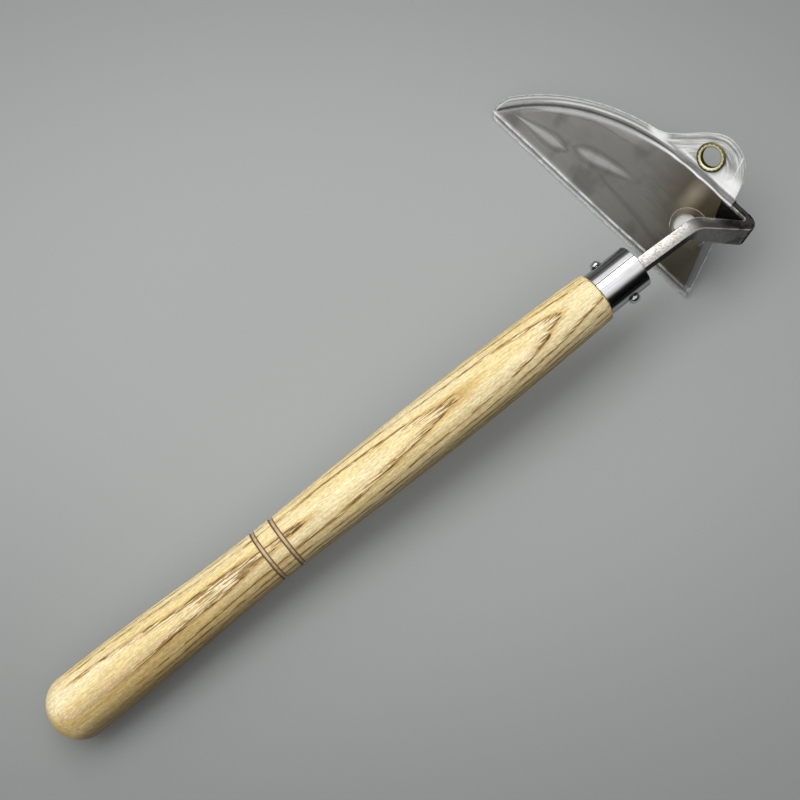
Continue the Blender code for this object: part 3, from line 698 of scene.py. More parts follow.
def satin_bar():
    """Speckled bar, darker past the elbow, with painted light and shade, and some dark oxide in the
    fold.
    """
    material, shader = new_material("satin stainless bar", 0.3, 1.0)
    place = own_place(shader, grip_frame)
    along, across, above = axes(place)
    plate = own_place(shader, blade_frame)
    up, _, out = axes(plate)
    speckle = cloudy(place, (1600.0, 1600.0, 1600.0), 3.0, 0.65)
    patches = cloudy(place, (140.0, 220.0, 220.0))
    coarse = rising(speckle, 0.44, 0.60)
    # Painted light and shade: the top face takes a lit copy of the steel, the sides a shaded copy.
    top = rising(above, 0.5 * BAR_WIDTH - 0.0008, 0.5 * BAR_WIDTH - 0.0003)
    # Past the elbow the steel is darker.
    bent = rising(along, BENT_FROM, BENT_TO)
    line = rising(stored_mark(shader, "corner"), 0.35, 0.85)
    # Painted highlight: a pale, not metallic line along the corners past the elbow.
    corner_highlight = times(line, bent, 0.65)
    # Painted shade: near black along the lower corners before the elbow.
    lower = times(line, rising(across, -0.0012, -0.0022), minus(1.0, bent))
    scale = times(rising(patches, 0.45, 0.60),
                  rising(along, FERRULE_FRONT + 0.038, FERRULE_FRONT + 0.052, 0.0, 0.8))
    # Painted shade in the fold's inner corner, where there is some dark oxide too.
    fold_shade_and_oxide = times(rising(away_from(plate, FOLD_INSIDE), 0.009, 0.014, 0.97, 0.0),
                 rising(up, 0.0482, 0.0492, 1.0, 0.0), rising(out, -0.0002, 0.0012, 1.0, 0.35))
    colour = coated(tinted(coarse, *SHADED_SIDE),
                    (top, tinted(rising(speckle, 0.47, 0.60), *LIT_TOP)),
                    (bent, tinted(coarse, *DARKER_PAST_ELBOW)), (corner_highlight, CORNER_HIGHLIGHT),
                    (lower, CORNER_SHADE), (scale, MILL_SCALE), (fold_shade_and_oxide, FOLD_SHADE_AND_OXIDE))
    rough = plus(rising(speckle, 0.3, 0.7, 0.26, 0.42), rising(patches, 0.4, 0.7, 0.0, 0.08))
    dress(shader, Base_Color=colour, Specular_Tint=colour, Roughness=rough,
          Metallic=minus(1.0, corner_highlight, clamp=True))
    bumped(shader, speckle, 0.00006, 0.5)
    return material


bar_finish = satin_bar()
neck = finish_piece("folded_neck", neck_mesh(), Matrix.Identity(4), bar_finish, "hoe",
                    "satin_steel", "neck")
cut(neck, blade_seat())
smoothed(neck.data, 20.0)


# Blade
# A pointed plate stamped from stainless sheet, with a straight cutting edge ground on the
# back, a curved spine and a round hole near the heel. Its face is finely brushed, and the
# heat of the weld has tinted it brown round the neck.

BLADE_LENGTH = 0.137
SPINE_RADIUS = 0.121
POINT_ROUND = 0.0025
BEVEL_WIDTH = 0.005
EDGE_THICKNESS = 0.0004
HONED_WIDTH = 0.0009
HONED_DEPTH = 0.0002
BLADE_HOLE = 0.0144
BLADE_HOLE_ALONG = 0.0195
BLADE_HOLE_UP = 0.0254
SPINE_START = BLADE_LENGTH - sqrt(SPINE_RADIUS ** 2 - (SPINE_RADIUS - BLADE_WIDTH) ** 2)
WELD_SPOT = (0.048, 0.014, 0.0)
STRAW_SPOT = (0.0412, 0.0265)
STRAW_STRETCH = (0.6, 1.5)
BRUSHED = ((0.66, 0.65, 0.61), (0.76, 0.75, 0.71))
BRUSHED_SHADED_AT_HEEL = ((0.31, 0.302, 0.275), (0.39, 0.38, 0.355))
CLOUDY_REFLECTION = (0.50, 0.48, 0.44)
DARK_REFLECTION = (0.22, 0.21, 0.185)
WELD_BROWN = (0.20, 0.155, 0.085)
WELD_STRAW = (0.86, 0.76, 0.58)
HEEL_SHADE = (0.13, 0.115, 0.075)
HONED = (0.80, 0.79, 0.77)


def spine_up(along, offset=0.0):
    """Height of a line parallel to the spine, offset outward."""
    if along < SPINE_START:
        return BLADE_WIDTH + offset
    reach = (SPINE_RADIUS + offset) ** 2 - (along - SPINE_START) ** 2
    return BLADE_WIDTH - SPINE_RADIUS + sqrt(max(0.0, reach))


def point_arc(steps):
    """(up, along) points round the blade's tip, from the edge to the spine."""
    rise = POINT_ROUND + SPINE_RADIUS - BLADE_WIDTH
    centre = SPINE_START + sqrt((SPINE_RADIUS - POINT_ROUND) ** 2 - rise ** 2)
    last = atan2(rise, centre - SPINE_START)
    points = []
    for step in range(steps + 1):
        angle = radians(-90.0) + (last + radians(90.0)) * step / steps
        points.append((POINT_ROUND + POINT_ROUND * sin(angle),
                       centre + POINT_ROUND * cos(angle)))
    return points


def blade_outline():
    outline = [(0.0, 0.0)] + point_arc(12)
    last = outline[-1][1]
    for step in range(1, 49):
        at = last + (SPINE_START - last) * step / 48.0
        outline.append((spine_up(at), at))
    outline.append((BLADE_WIDTH, HEEL_LEAN))
    return outline


def ring_of(mesh, points):
    verts = [mesh.verts.new((up, at, 0.0)) for up, at in points]
    return [mesh.edges.new(pair) for pair in zip(verts, verts[1:] + verts[:1])]


def round_hole(up, along, diameter, sides):
    return [(up + 0.5 * diameter * cos(2.0 * pi * step / sides),
             along + 0.5 * diameter * sin(2.0 * pi * step / sides)) for step in range(sides)]


def holed_plate(outline, hole, thickness):
    """A flat plate with one hole, whose face is at z = 0 and whose back is below it."""
    mesh = bmesh.new()
    edges = ring_of(mesh, outline) + ring_of(mesh, hole)
    bmesh.ops.triangle_fill(mesh, use_beauty=True, use_dissolve=False, edges=edges)
    back = extruded(mesh, mesh.faces[:])[1]
    bmesh.ops.translate(mesh, vec=(0.0, 0.0, -thickness), verts=back)
    return mesh


def blade_mesh():
    hole = round_hole(BLADE_HOLE_UP, BLADE_HOLE_ALONG, BLADE_HOLE, 64)
    mesh = holed_plate(blade_outline(), hole, BLADE_THICKNESS)
    for height in (HONED_WIDTH, BEVEL_WIDTH):
        sliced(mesh, (height, 0.0, 0.0), (1.0, 0.0, 0.0))
    for vert in mesh.verts:
        if vert.co.z < -0.5 * BLADE_THICKNESS and vert.co.x < BEVEL_WIDTH:
            share = max(0.0, vert.co.x / BEVEL_WIDTH)
            vert.co.z = -(EDGE_THICKNESS + (BLADE_THICKNESS - EDGE_THICKNESS) * share)
        elif vert.co.z > -1e-6 and vert.co.x < 0.5 * HONED_WIDTH:
            vert.co.z = -HONED_DEPTH
    return facing_out(mesh)


def blade_steel():
    """Brushed across the edge, honed below, browned and strawed by the weld's heat; painted shade and
    reflections.
    """
    material, shader = new_material("brushed stainless plate", 0.34, 1.0)
    place = own_place(shader, blade_frame)
    up, along, _ = axes(place)
    brushing = cloudy(place, (2400.0, 60.0, 60.0))
    clouds = cloudy(place, (70.0, 22.0, 50.0), 3.0, 0.55)
    dark_reflections = cloudy(place, (45.0, 60.0, 50.0), 2.0, 0.5, (7.0, 2.0, 0.0))
    grain = rising(brushing, 0.3, 0.7)
    browned = plus(away_from(place, WELD_SPOT), times(clouds, 0.014))
    straw_spot = [spot * scale for spot, scale in zip(STRAW_SPOT, STRAW_STRETCH)]
    straw = away_from(stretched(place, (*STRAW_STRETCH, 0.0)), (*straw_spot, 0.0))
    straw = plus(straw, times(clouds, 0.008))
    # Painted shade and reflection of the neck: the brushed steel darkens towards the heel, most at the
    # heel's corner.
    colour = coated(tinted(grain, *BRUSHED_SHADED_AT_HEEL),
                    (rising(along, 0.010, 0.125), tinted(grain, *BRUSHED)),
                    # Painted reflections: pale clouds and dark smudges on the steel.
                    (rising(clouds, 0.42, 0.62, 0.0, 0.25), CLOUDY_REFLECTION),
                    (rising(dark_reflections, 0.50, 0.66, 0.0, 0.45), DARK_REFLECTION),
                    (rising(browned, 0.018, 0.050, 0.85, 0.0), WELD_BROWN),
                    (rising(straw, 0.003, 0.015, 0.85, 0.0), WELD_STRAW),
                    (rising(plus(up, along), 0.015, 0.045, 0.75, 0.0), HEEL_SHADE),
                    (rising(up, 0.0006, 0.0012, 0.9, 0.0), HONED))
    dress(shader, Base_Color=colour, Roughness=rising(brushing, 0.3, 0.7, 0.30, 0.42))
    bumped(shader, brushing, 0.00003, 0.4)
    return material


finish_piece("pointed_blade", blade_mesh(), blade_frame, blade_steel(), "hoe", "blade_steel",
             "blade", sharp=12.0)


# Weld fillet
# A small run of weld along the inner side of the tongue, under the blade, that holds the
# plate to the neck. It has the fine ripples of a hand-laid bead.

WELD_LEG = 0.002
WELD_START = 0.019
WELD_END = 0.037
WELD_SECTION = ((0.0, 0.0), (0.0, -1.0), (-0.25, -0.93), (-0.55, -0.70), (-0.82, -0.38), (-1.0, 0.0))
WELD_STEPS = 54


def weld_mesh():
    mesh = bmesh.new()
    mesh.faces.new([mesh.verts.new((x, 0.0, z)) for x, z in WELD_SECTION])
    places = []
    for step in range(WELD_STEPS + 1):
        at = WELD_START + (WELD_END - WELD_START) * step / WELD_STEPS
        depth, width = tongue_size(at)
        from_end = min(step, WELD_STEPS - step)
        swell = sin(0.5 * pi * min(1.0, (from_end + 1.5) / 6.0))
        swell *= 0.90 + 0.10 * abs(sin(pi * step / 4.0))
        room = min(WELD_LEG, depth - BLADE_THICKNESS - GAP)
        corner = (BLADE_WIDTH - width - GAP, at, -BLADE_THICKNESS - GAP)
        places.append(Matrix.Translation(corner) @ Matrix.Diagonal((WELD_LEG * swell, 1.0,
                                                                    room * swell, 1.0)))
    return swept(mesh, places)


finish_piece("weld_bead", weld_mesh(), blade_frame, bar_finish, "hoe", "satin_steel",
             "weld_fillet", sharp=50.0)


# Cover films
# Two sheets of clear soft plastic, welded together along the rim and open at the heel, with
# a hanging ear above the spine. The front sheet has a round cut-out over the blade's hole.

FILM = 0.0005
SEAM_BELOW = 0.003
SEAM_ABOVE = 0.005
SEAM_AT_POINT = 0.0026
MOUTH_FRONT = 0.0038
MOUTH_LEAN = 0.26
EAR_RADIUS = 0.0178
EAR_ABOVE_SPINE = 0.0063
EAR_UP = BLADE_WIDTH + EAR_ABOVE_SPINE
EYELET_FROM_EAR = (0.0051, 0.0027)
EAR_SHOULDER = 0.0327
FRONT_RISE = (0.0030, 0.0026)
BACK_RISE = (0.0026, 0.0024)
TONGUE_SIDE_RISE = (0.0026, 0.0022)
TONGUE_END_RISE = (0.0045, 0.0040)
WELDED_LEVEL = 0.5 * FILM + 0.00004
COVER_HOLE = 0.020
COVER_HOLE_SPOT = (BLADE_HOLE_UP + 0.0011, BLADE_HOLE_ALONG - 0.0015)
EYELET_HOLE = 0.0112
FILM_STEP = 0.0012
FILM_SHARP = 40.0
CUTTER_REACH = 0.02
MOUTH_CORNER = 0.0045
TIP_CORNER = 0.0040
TIP_PULL = (0.0060, 0.0039)
OUTLINE_STEPS = 110
MOUTH_STRIP = 0.0052
CLEAR_IOR = 1.8
CLEAR_SHINE = 0.8
CLEAR_AND_PAINTED_DARK_TONE = (0.045, 0.045, 0.042)
HIGHLIGHT_AND_HAZE_TONE = (0.98, 0.98, 0.97)
GLARE_SPOT = (0.0535, 0.0600)
SECOND_GLARE_SPOT = (0.0570, 0.0185)
slant = hypot(1.0, MOUTH_LEAN)


def mouth_along(up):
    return MOUTH_LEAN * up - MOUTH_FRONT


EAR_ALONG = mouth_along(EAR_UP + EAR_RADIUS * MOUTH_LEAN / slant) + EAR_RADIUS / slant
EYELET_SPOT = (EAR_UP + EYELET_FROM_EAR[0], EAR_ALONG + EYELET_FROM_EAR[1])


def smooth(value):
    value = min(1.0, max(0.0, value))
    return value * value * (3.0 - 2.0 * value)


def rim_up(along):
    """Upper rim of the cover, with its hanging ear."""
    seam = spine_up(along, SEAM_ABOVE)
    crown = EAR_UP + EAR_RADIUS
    past = along - EAR_ALONG
    if past <= 0.0:
        return crown
    if past >= EAR_SHOULDER:
        return seam
    return seam + (crown - seam) * cos(0.5 * pi * past / EAR_SHOULDER) ** 2


def curved(start, first, second, end, steps):
    """Points of a cubic curve between two (up, along) points."""
    points = []
    for step in range(steps + 1):
        share = step / steps
        rest = 1.0 - share
        weights = (rest ** 3, 3.0 * rest * rest * share, 3.0 * rest * share * share, share ** 3)
        points.append(tuple(sum(weight * corner[axis] for weight, corner
                                in zip(weights, (start, first, second, end))) for axis in (0, 1)))
    return points


def cover_outline():
    """(up, along) points round the cover: mouth corner, lower rim, point, upper rim and ear."""
    low = -SEAM_BELOW
    corner = (low, mouth_along(low))
    mouth_side = (low + MOUTH_CORNER, mouth_along(low + MOUTH_CORNER))
    points = curved(mouth_side, corner, corner, (low, corner[1] + MOUTH_CORNER), 8)
    last = max(at for up, at in point_arc(12)) + SEAM_AT_POINT
    turn = last - TIP_CORNER
    fall = (rim_up(turn) - rim_up(turn - 0.001)) / 0.001
    before, after = TIP_PULL
    points += curved((low, turn), (low, turn + before),
                     (rim_up(turn) + after * fall, turn + after), (rim_up(turn), turn), 14)
    for step in range(1, OUTLINE_STEPS + 1):
        at = turn + (EAR_ALONG - turn) * step / OUTLINE_STEPS
        points.append((rim_up(at), at))
    first = atan2(-1.0 / slant, MOUTH_LEAN / slant)
    for step in range(1, 25):
        angle = first * step / 24.0
        points.append((EAR_UP + EAR_RADIUS * cos(angle),
                       EAR_ALONG + EAR_RADIUS * sin(angle)))
    return points


def pocket_reach(up, along):
    """How far inside the blade's own outline a point lies; negative outside it."""
    if along < SPINE_START:
        from_spine = BLADE_WIDTH - up
    else:
        from_spine = SPINE_RADIUS - hypot(up - BLADE_WIDTH + SPINE_RADIUS, along - SPINE_START)
    return min(up, from_spine)


def wrinkles(up, along):
    """Slow waves of the soft film: puckers by the rim, folds fanning from the eyelet."""
    wave = 0.00022 * sin(95.0 * along + 60.0 * up) * sin(70.0 * up + 1.3)
    wave += 0.00012 * sin(260.0 * along - 40.0 * up)
    off_up = up - EYELET_SPOT[0]
    off_along = along - EYELET_SPOT[1]
    away = hypot(off_up, off_along)
    fan = sin(7.0 * atan2(off_up, off_along) + 55.0 * away)
    wave += 0.0007 * fan * smooth((away - 0.007) / 0.006) * smooth((0.030 - away) / 0.012)
    return wave


def lifted(past, start, run):
    return smooth((past + start) / run)


def front_height(up, along):
    lift = lifted(pocket_reach(up, along), *FRONT_RISE)
    ripple = wrinkles(up, along)
    base = WELDED_LEVEL + (GAP + 0.5 * FILM - WELDED_LEVEL) * lift
    return base + max(0.0, ripple) * (0.3 + 0.7 * lift) + 0.7 * min(0.0, ripple) * (1.0 - lift)


def back_height(up, along):
    """The back film hangs clear of the bevel, and of the neck's tongue and its weld."""
    lift = lifted(pocket_reach(up, along), *BACK_RISE)
    ground = min(1.0, max(0.0, up / BEVEL_WIDTH))
    plate = EDGE_THICKNESS + (BLADE_THICKNESS - EDGE_THICKNESS) * ground + GAP
    depth, width = tongue_size(along)
    beside = lifted(up - BLADE_WIDTH + width + WELD_LEG, *TONGUE_SIDE_RISE)
    beyond = lifted(TONGUE_END - along, *TONGUE_END_RISE)
    deepest = plate + (max(plate, depth + GAP) - plate) * beside * beyond
    rest = -WELDED_LEVEL + min(0.0, wrinkles(up + 0.01, along)) * 0.7 * (1.0 - lift)
    return rest + (-deepest - 0.5 * FILM + WELDED_LEVEL) * lift


def film_mesh(height):
    """A grid of the film's middle surface, a little larger than the cover."""
    low = -SEAM_BELOW - 2.0 * FILM_STEP
    high = EAR_UP + EAR_RADIUS + 2.0 * FILM_STEP
    start = mouth_along(low) - 2.0 * FILM_STEP
    end = max(at for up, at in cover_outline()) + 2.0 * FILM_STEP
    rows = int((high - low) / FILM_STEP)
    columns = int((end - start) / FILM_STEP)
    mesh = bmesh.new()
    bmesh.ops.create_grid(mesh, x_segments=rows, y_segments=columns, size=0.5)
    for vert in mesh.verts:
        up = low + (high - low) * (vert.co.x + 0.5)
        at = start + (end - start) * (vert.co.y + 0.5)
        vert.co = (up, at, height(up, at))
    bmesh.ops.solidify(mesh, geom=mesh.faces[:], thickness=0.5 * FILM)
    return mesh


def off_centre(up, along, centre, stretch=1.0):
    """Distance from an (up, along) point, stretched across the blade."""
    return away_from(in_plane(times(minus(up, centre[0]), stretch), minus(along, centre[1])))


def spine_distance(up, along):
    """Distance outside the blade's curved spine, in the plane of the blade."""
    beyond = most(minus(along, SPINE_START), 0.0)
    from_centre = away_from(in_plane(minus(up, BLADE_WIDTH - SPINE_RADIUS), beyond))
    return minus(from_centre, SPINE_RADIUS)


def layered(shares):
    """How much of what lies behind a stack of layers is hidden by them."""
    through = [minus(1.0, share, clamp=True) for share in shares]
    return minus(1.0, times(*through), clamp=True)


def faded(film_mark, along, *fades):
    return times(film_mark, *(rising(along, *fade) for fade in fades))


def edge_on(shader, blend, output):
    """How far a face is turned away from the eye."""
    weight = shader.id_data.nodes.new("ShaderNodeLayerWeight")
    dress(weight, Blend=blend)
    return weight.outputs[output]


# Painted highlight lines and painted dark reflection lines on the film.
# The measure that a line follows, then its centre, half width and strength, and how it fades.
PAINTED_HIGHLIGHT_LINES = (("rim", (0.0012, 0.0008, 0.36), (0.085, 0.105, 0.3, 1.0)),
               ("spine", (0.0021, 0.0008, 0.50), (0.045, 0.055), (0.105, 0.122, 1.0, 0.15)),
               ("edge", (0.0022, 0.0009, 0.32), (0.025, 0.050, 0.2, 1.0)),
               ("spine", (0.0044, 0.0012, 0.90), (0.040, 0.048, 1.0, 0.0), (0.004, 0.012)))
PAINTED_DARK_LINES = (("spine", (0.0032, 0.0006, 0.25), (0.060, 0.075)),
              ("edge", (0.0010, 0.0006, 0.20)))


def painted_seam_lines(up, along, spine, rim, broken, waver):
    """Painted highlights and dark lines along the weld, the blade's spine and cutting edge, and a
    faint haze.
    """
    edge = times(up, -1.0)
    measures = {"rim": rim, "spine": spine, "edge": edge}
    whites, darks = ([faded(ridge(measures[measure], *line), along, *fades)
                      for measure, line, *fades in lines] for lines in (PAINTED_HIGHLIGHT_LINES, PAINTED_DARK_LINES))
    # Painted highlights: over the film's shoulder on the spine, a glint along the edge and a gleam
    # just inside it.
    shoulder = ridge(spine, rising(along, 0.025, 0.085, 0.0, -0.0023),
                     rising(along, 0.030, 0.080, 0.0009, 0.0018),
                     rising(along, 0.045, 0.075, 0.97, 0.26))
    glint = times(ridge(up, rising(along, 0.020, 0.050, 0.0012, 0.0004), 0.0011, 0.70),
                  rising(broken, 0.42, 0.56, 0.45, 1.0))
    gleam = times(rising(up, 0.0004, 0.0030, 0.22, 0.0), rising(up, -0.0002, 0.0004))
    # A faint painted band inside the spine, a painted line along the mouth and a painted dark line
    # along a crease.
    inside = plus(rising(along, 0.070, 0.092, -0.0070, -0.0044),
                  rising(along, 0.105, 0.122, 0.0, 0.0022), waver)
    band = times(rising(spine, inside, -0.0012, 0.04, 0.13),
                 rising(spine, minus(inside, 0.0003), inside),
                 rising(spine, -0.0012, -0.0004, 1.0, 0.0))
    mouth_strip = ridge(minus(along, times(up, MOUTH_LEAN)), MOUTH_STRIP - MOUTH_FRONT, 0.0006, 0.6)
    crease_shade = ridge(spine, rising(along, 0.030, 0.065, 0.0017, 0.0001),
                   rising(along, 0.030, 0.065, 0.0013, 0.0011),
                   rising(along, 0.015, 0.060, 0.88, 0.50))
    whites += [rising(most(spine, edge), 0.0003, 0.0009, 0.0, 0.12),
               faded(shoulder, along, (0.108, 0.122, 1.0, 0.25)),
               faded(glint, along, (0.008, 0.035, 0.15, 1.0)),
               faded(gleam, along, (0.060, 0.090)),
               faded(band, along, (0.050, 0.068)),
               times(mouth_strip, rising(up, 0.053, 0.055))]
    darks += [faded(rising(rim, 0.0002, 0.0007, 0.32, 0.0), along, (0.085, 0.105, 0.4, 1.0)),
              crease_shade, faded(ridge(spine, inside, 0.0006, 0.16), along, (0.060, 0.072))]
    return whites, darks


def clinging(place, centre, run, half_length, half_width, taper):
    """A long drop-shaped patch: 0 in its middle, 1 on its outline, and how far along it is."""
    turn = (0.0, 0.0, atan2(run[1], run[0]))
    turned = node("ShaderNodeMapping", place, (*centre, 0.0), turn, (half_length, half_width, 1.0),
                  vector_type="TEXTURE").outputs[0]
    run_out, across, _ = axes(turned)
    square = times(run_out, run_out)
    width = rising(run_out, -1.0, 1.0, 1.0 - taper, 1.0 + taper)
    across = figure("DIVIDE", figure("ABSOLUTE", across), width)
    return plus(times(square, square), across), run_out


# Centre, direction, half length, half width and taper of each patch, and how it fades.
CLINGING = (((0.0097, 0.1110), (0.0050, -0.0330), 0.0185, 0.0021, 0.70, (-1.2, -0.4, 0.5, 1.0)),
            ((0.0218, 0.0705), (0.0085, -0.0320), 0.0190, 0.0029, -0.30, (1.0, 0.0)))


def painted_cling_patches(place, up, along, waver):
    """Painted: pale reflections where the film clings to the plate, their dark outlines, and one long
    dark fold line.
    """
    fold = plus(minus(up, times(along, 0.115)), times(waver, 1.7))
    fold = ridge(fold, 0.0065, 0.0024, 0.09)
    whites = []
    darks = [faded(fold, along, (0.020, 0.030), (0.060, 0.078, 1.0, 0.0))]
    for *shape, fade in CLINGING:
        patch, run_out = clinging(place, *shape)
        patch = plus(patch, times(waver, 120.0))
        kept = rising(run_out, *fade)
        whites.append(times(rising(patch, 0.20, 1.00, 0.17, 0.0), kept))
        darks.append(times(ridge(patch, 1.30, 0.55, 0.09), plus(0.3, times(kept, 0.7))))
    return whites, darks


def painted_ear_reflections(up, along, spine, rim, broken):
    """Painted reflections round the hanging ear: streaks, lines along its rim, and two broad glares
    beside it.
    """
    streaks = cloudy(in_plane(along, rim), (35.0, 520.0, 0.0))
    on_ear = times(rising(off_centre(up, along, EYELET_SPOT), 0.034, 0.024),
                   rising(spine, 0.0026, 0.0044))
    glare = times(rising(off_centre(up, along, GLARE_SPOT, 1.6), 0.003, 0.008, 0.95, 0.0),
                  rising(spine, 0.0014, 0.0022))
    second_glare = times(rising(off_centre(up, along, SECOND_GLARE_SPOT, 1.5), 0.005, 0.012, 0.92, 0.0),
                 rising(broken, 0.35, 0.55, 0.65, 1.0), rising(spine, 0.0030, 0.0042))
    whites = [times(on_ear, rising(streaks, 0.46, 0.62, 0.05, 0.60)),
              times(on_ear, ridge(rim, 0.0034, 0.0008, 0.40)), glare, second_glare]
    darks = [times(on_ear, rising(streaks, 0.34, 0.46, 0.35, 0.0)),
             times(on_ear, ridge(rim, 0.0022, 0.0007, 0.25))]
    return whites, darks


def painted_hole_reflections(up, along, cut_out):
    """A painted white reflection that shows in the blade's hole, and a painted highlight on the lip of
    the round cut-out.
    """
    hole = off_centre(up, along, (BLADE_HOLE_UP, BLADE_HOLE_ALONG))
    whites = [times(rising(hole, 0.0081, 0.0085, 1.0, 0.0), rising(up, 0.0190, 0.0200)),
              times(ridge(cut_out, 0.0003, 0.0006, 0.14), rising(up, 0.022, 0.026))]
    return whites, []


def left_bare(up, along, spine, cut_out):
    """Where no film shows: past the heel beside the neck, and on the cut-out's lower lip."""
    past_heel = times(rising(minus(along, times(up, 0.30)), -0.0006, 0.0004, 1.0, 0.0),
                      rising(spine, -0.0008, -0.0002, 1.0, 0.0), rising(up, 0.033, 0.036))
    low_lip = times(ridge(cut_out, 0.0002, 0.0008, 0.9), rising(up, 0.022, 0.020))
    return layered([past_heel, low_lip])


def clear_film():
    """Painted highlights and dark reflection lines, with some haze, over a clear sheet set the film's
    colour and how much it hides.
    """
    material, shader = new_material("clear soft film", 0.08)
    place = own_place(shader, blade_frame)
    up, along, _ = axes(place)
    haze = cloudy(place, (60.0, 35.0, 0.0), 3.0, 0.55)
    broken = cloudy(place, (90.0, 110.0, 0.0), 2.0, 0.6, (4.0, 0.0, 0.0))
    spine = spine_distance(up, along)
    rim = stored_mark(shader, "rim")
    waver = times(minus(haze, 0.5), 0.0030)
    cut_out = minus(off_centre(up, along, COVER_HOLE_SPOT), 0.5 * COVER_HOLE)
    film_marks = (painted_seam_lines(up, along, spine, rim, broken, waver),
             painted_cling_patches(place, up, along, waver), painted_ear_reflections(up, along, spine, rim, broken),
             painted_hole_reflections(up, along, cut_out))
    white = layered([film_mark for whites, _ in film_marks for film_mark in whites])
    dark = layered([film_mark for _, darks in film_marks for film_mark in darks])
    clear = plus(0.07, times(edge_on(shader, 0.35, "Fresnel"), 0.30),
                 rising(haze, 0.5, 0.8, 0.0, 0.06))
    rest = times(plus(dark, clear), minus(1.0, white))
    share = figure("DIVIDE", white, plus(white, rest))
    shown = minus(1.0, left_bare(up, along, spine, cut_out))
    dress(shader, IOR=CLEAR_IOR, Specular_IOR_Level=CLEAR_SHINE,
          Base_Color=tinted(share, CLEAR_AND_PAINTED_DARK_TONE, HIGHLIGHT_AND_HAZE_TONE),
          Alpha=times(layered([clear, white, dark]), shown),
          Roughness=rising(haze, 0.3, 0.7, 0.05, 0.14))
    bumped(shader, haze, 0.0004, 0.4)
    return material


film_finish = clear_film()


def mark_rim(data):
    """Stores each point's distance inside the cover's outline, for the seam's lines."""
    outline = cover_outline()
    dense = []
    for here, after in zip(outline, outline[1:]):
        dense += [(here[0] + (after[0] - here[0]) * share, here[1] + (after[1] - here[1]) * share)
                  for share in (0.0, 0.25, 0.5, 0.75)]
    tree = kdtree.KDTree(len(dense))
    for index, (up, at) in enumerate(dense):
        tree.insert((up, at, 0.0), index)
    tree.balance()
    to_blade = blade_frame.inverted()
    marks = data.attributes.new("rim", "FLOAT", "POINT")
    for vert, mark in zip(data.vertices, marks.data):
        spot = to_blade @ vert.co
        mark.value = tree.find((spot.x, spot.y, 0.0))[2]


def film_piece(name, height, replaced, holes):
    """A film, trimmed to the cover's outline and pierced with its round holes."""
    piece = finish_piece(name, film_mesh(height), blade_frame, film_finish, "cover", "clear_film",
                         replaced, sharp=FILM_SHARP)
    cut(piece, cutter(cover_outline(), -CUTTER_REACH, CUTTER_REACH), "INTERSECT")
    for up, at, diameter in holes:
        cut(piece, cutter(round_hole(up, at, diameter, 48), -CUTTER_REACH, CUTTER_REACH))
    smoothed(piece.data, FILM_SHARP)
    mark_rim(piece.data)


eyelet_hole = (*EYELET_SPOT, EYELET_HOLE)
relief_hole = (*COVER_HOLE_SPOT, COVER_HOLE)
film_piece("front_film", front_height, "cover_front_film", (eyelet_hole, relief_hole))
film_piece("back_film", back_height, "cover_back_film", (eyelet_hole,))


# Welded rim
# Where the two films are welded, the plastic is squeezed into a rounded bead along the
# outer edge. The open mouth has a thinner edge. Both show as bright lines, from their gloss and a
# painted highlight.

RIM_BEAD = 0.00042
MOUTH_EDGE = 0.00025
BEAD_PAINTED_HIGHLIGHT = (0.92, 0.92, 0.91)
BEAD_PAINTED_EDGE_SHADE = (0.12, 0.12, 0.12)


def clear_bead():
    """Lumpy clear plastic with a painted pale highlight where it faces the eye and painted dark edges;
    it fades beside the neck.
    """
    material, shader = new_material("clear welded bead", 0.08)
    place = own_place(shader, blade_frame)
    up, along, _ = axes(place)
    lumps = cloudy(place, (260.0, 260.0, 260.0))
    facing = edge_on(shader, 0.5, "Facing")
    seen = plus(rising(lumps, 0.35, 0.65, 0.20, 0.45), rising(facing, 0.4, 0.9, 0.0, 0.2))
    off_neck = most(rising(along, 0.018, 0.024), rising(up, 0.050, 0.052),
                    rising(up, 0.034, 0.040, 1.0, 0.0))
    dress(shader, IOR=CLEAR_IOR, Specular_IOR_Level=CLEAR_SHINE,
          # Painted highlight and shade: pale where the bead faces the eye, dark where it is seen edge
          # on.
          Base_Color=tinted(rising(facing, 0.35, 0.75), BEAD_PAINTED_HIGHLIGHT, BEAD_PAINTED_EDGE_SHADE),
          Alpha=times(seen, off_neck))
    bumped(shader, lumps, 0.0003, 0.5)
    return material


def bead(name, points, radius, material):
    """A round bead along (up, along) points in the seam's plane, made a mesh."""
    curve = bpy.data.curves.new(name, "CURVE")
    curve.dimensions = "3D"
    curve.bevel_depth = radius
    curve.bevel_resolution = 2
    curve.use_fill_caps = True
    spline = curve.splines.new("POLY")
    spline.points.add(len(points) - 1)
    for point, (up, at) in zip(spline.points, points):
        point.co = (*(blade_frame @ Vector((up, at, 0.0))), 1.0)
    guide = in_scene(name + "_guide", curve)
    data = evaluated(guide)
    bpy.data.objects.remove(guide)
    mesh = bmesh.new()
    mesh.from_mesh(data)
    finish_piece(name, facing_out(mesh), Matrix.Identity(4), material, "cover", "clear_film",
                 sharp=60.0)


bead_finish = clear_bead()
rim = cover_outline()
bead("rim_bead", rim[8:], RIM_BEAD, bead_finish)
bead("mouth_edge", [rim[-1]] + rim[:9], MOUTH_EDGE, bead_finish)


# Eyelet and washer
# A pale brass eyelet is pushed through both films of the ear. Its barrel is curled over a
# toothed brass washer behind, so that the cover can hang from a hook.

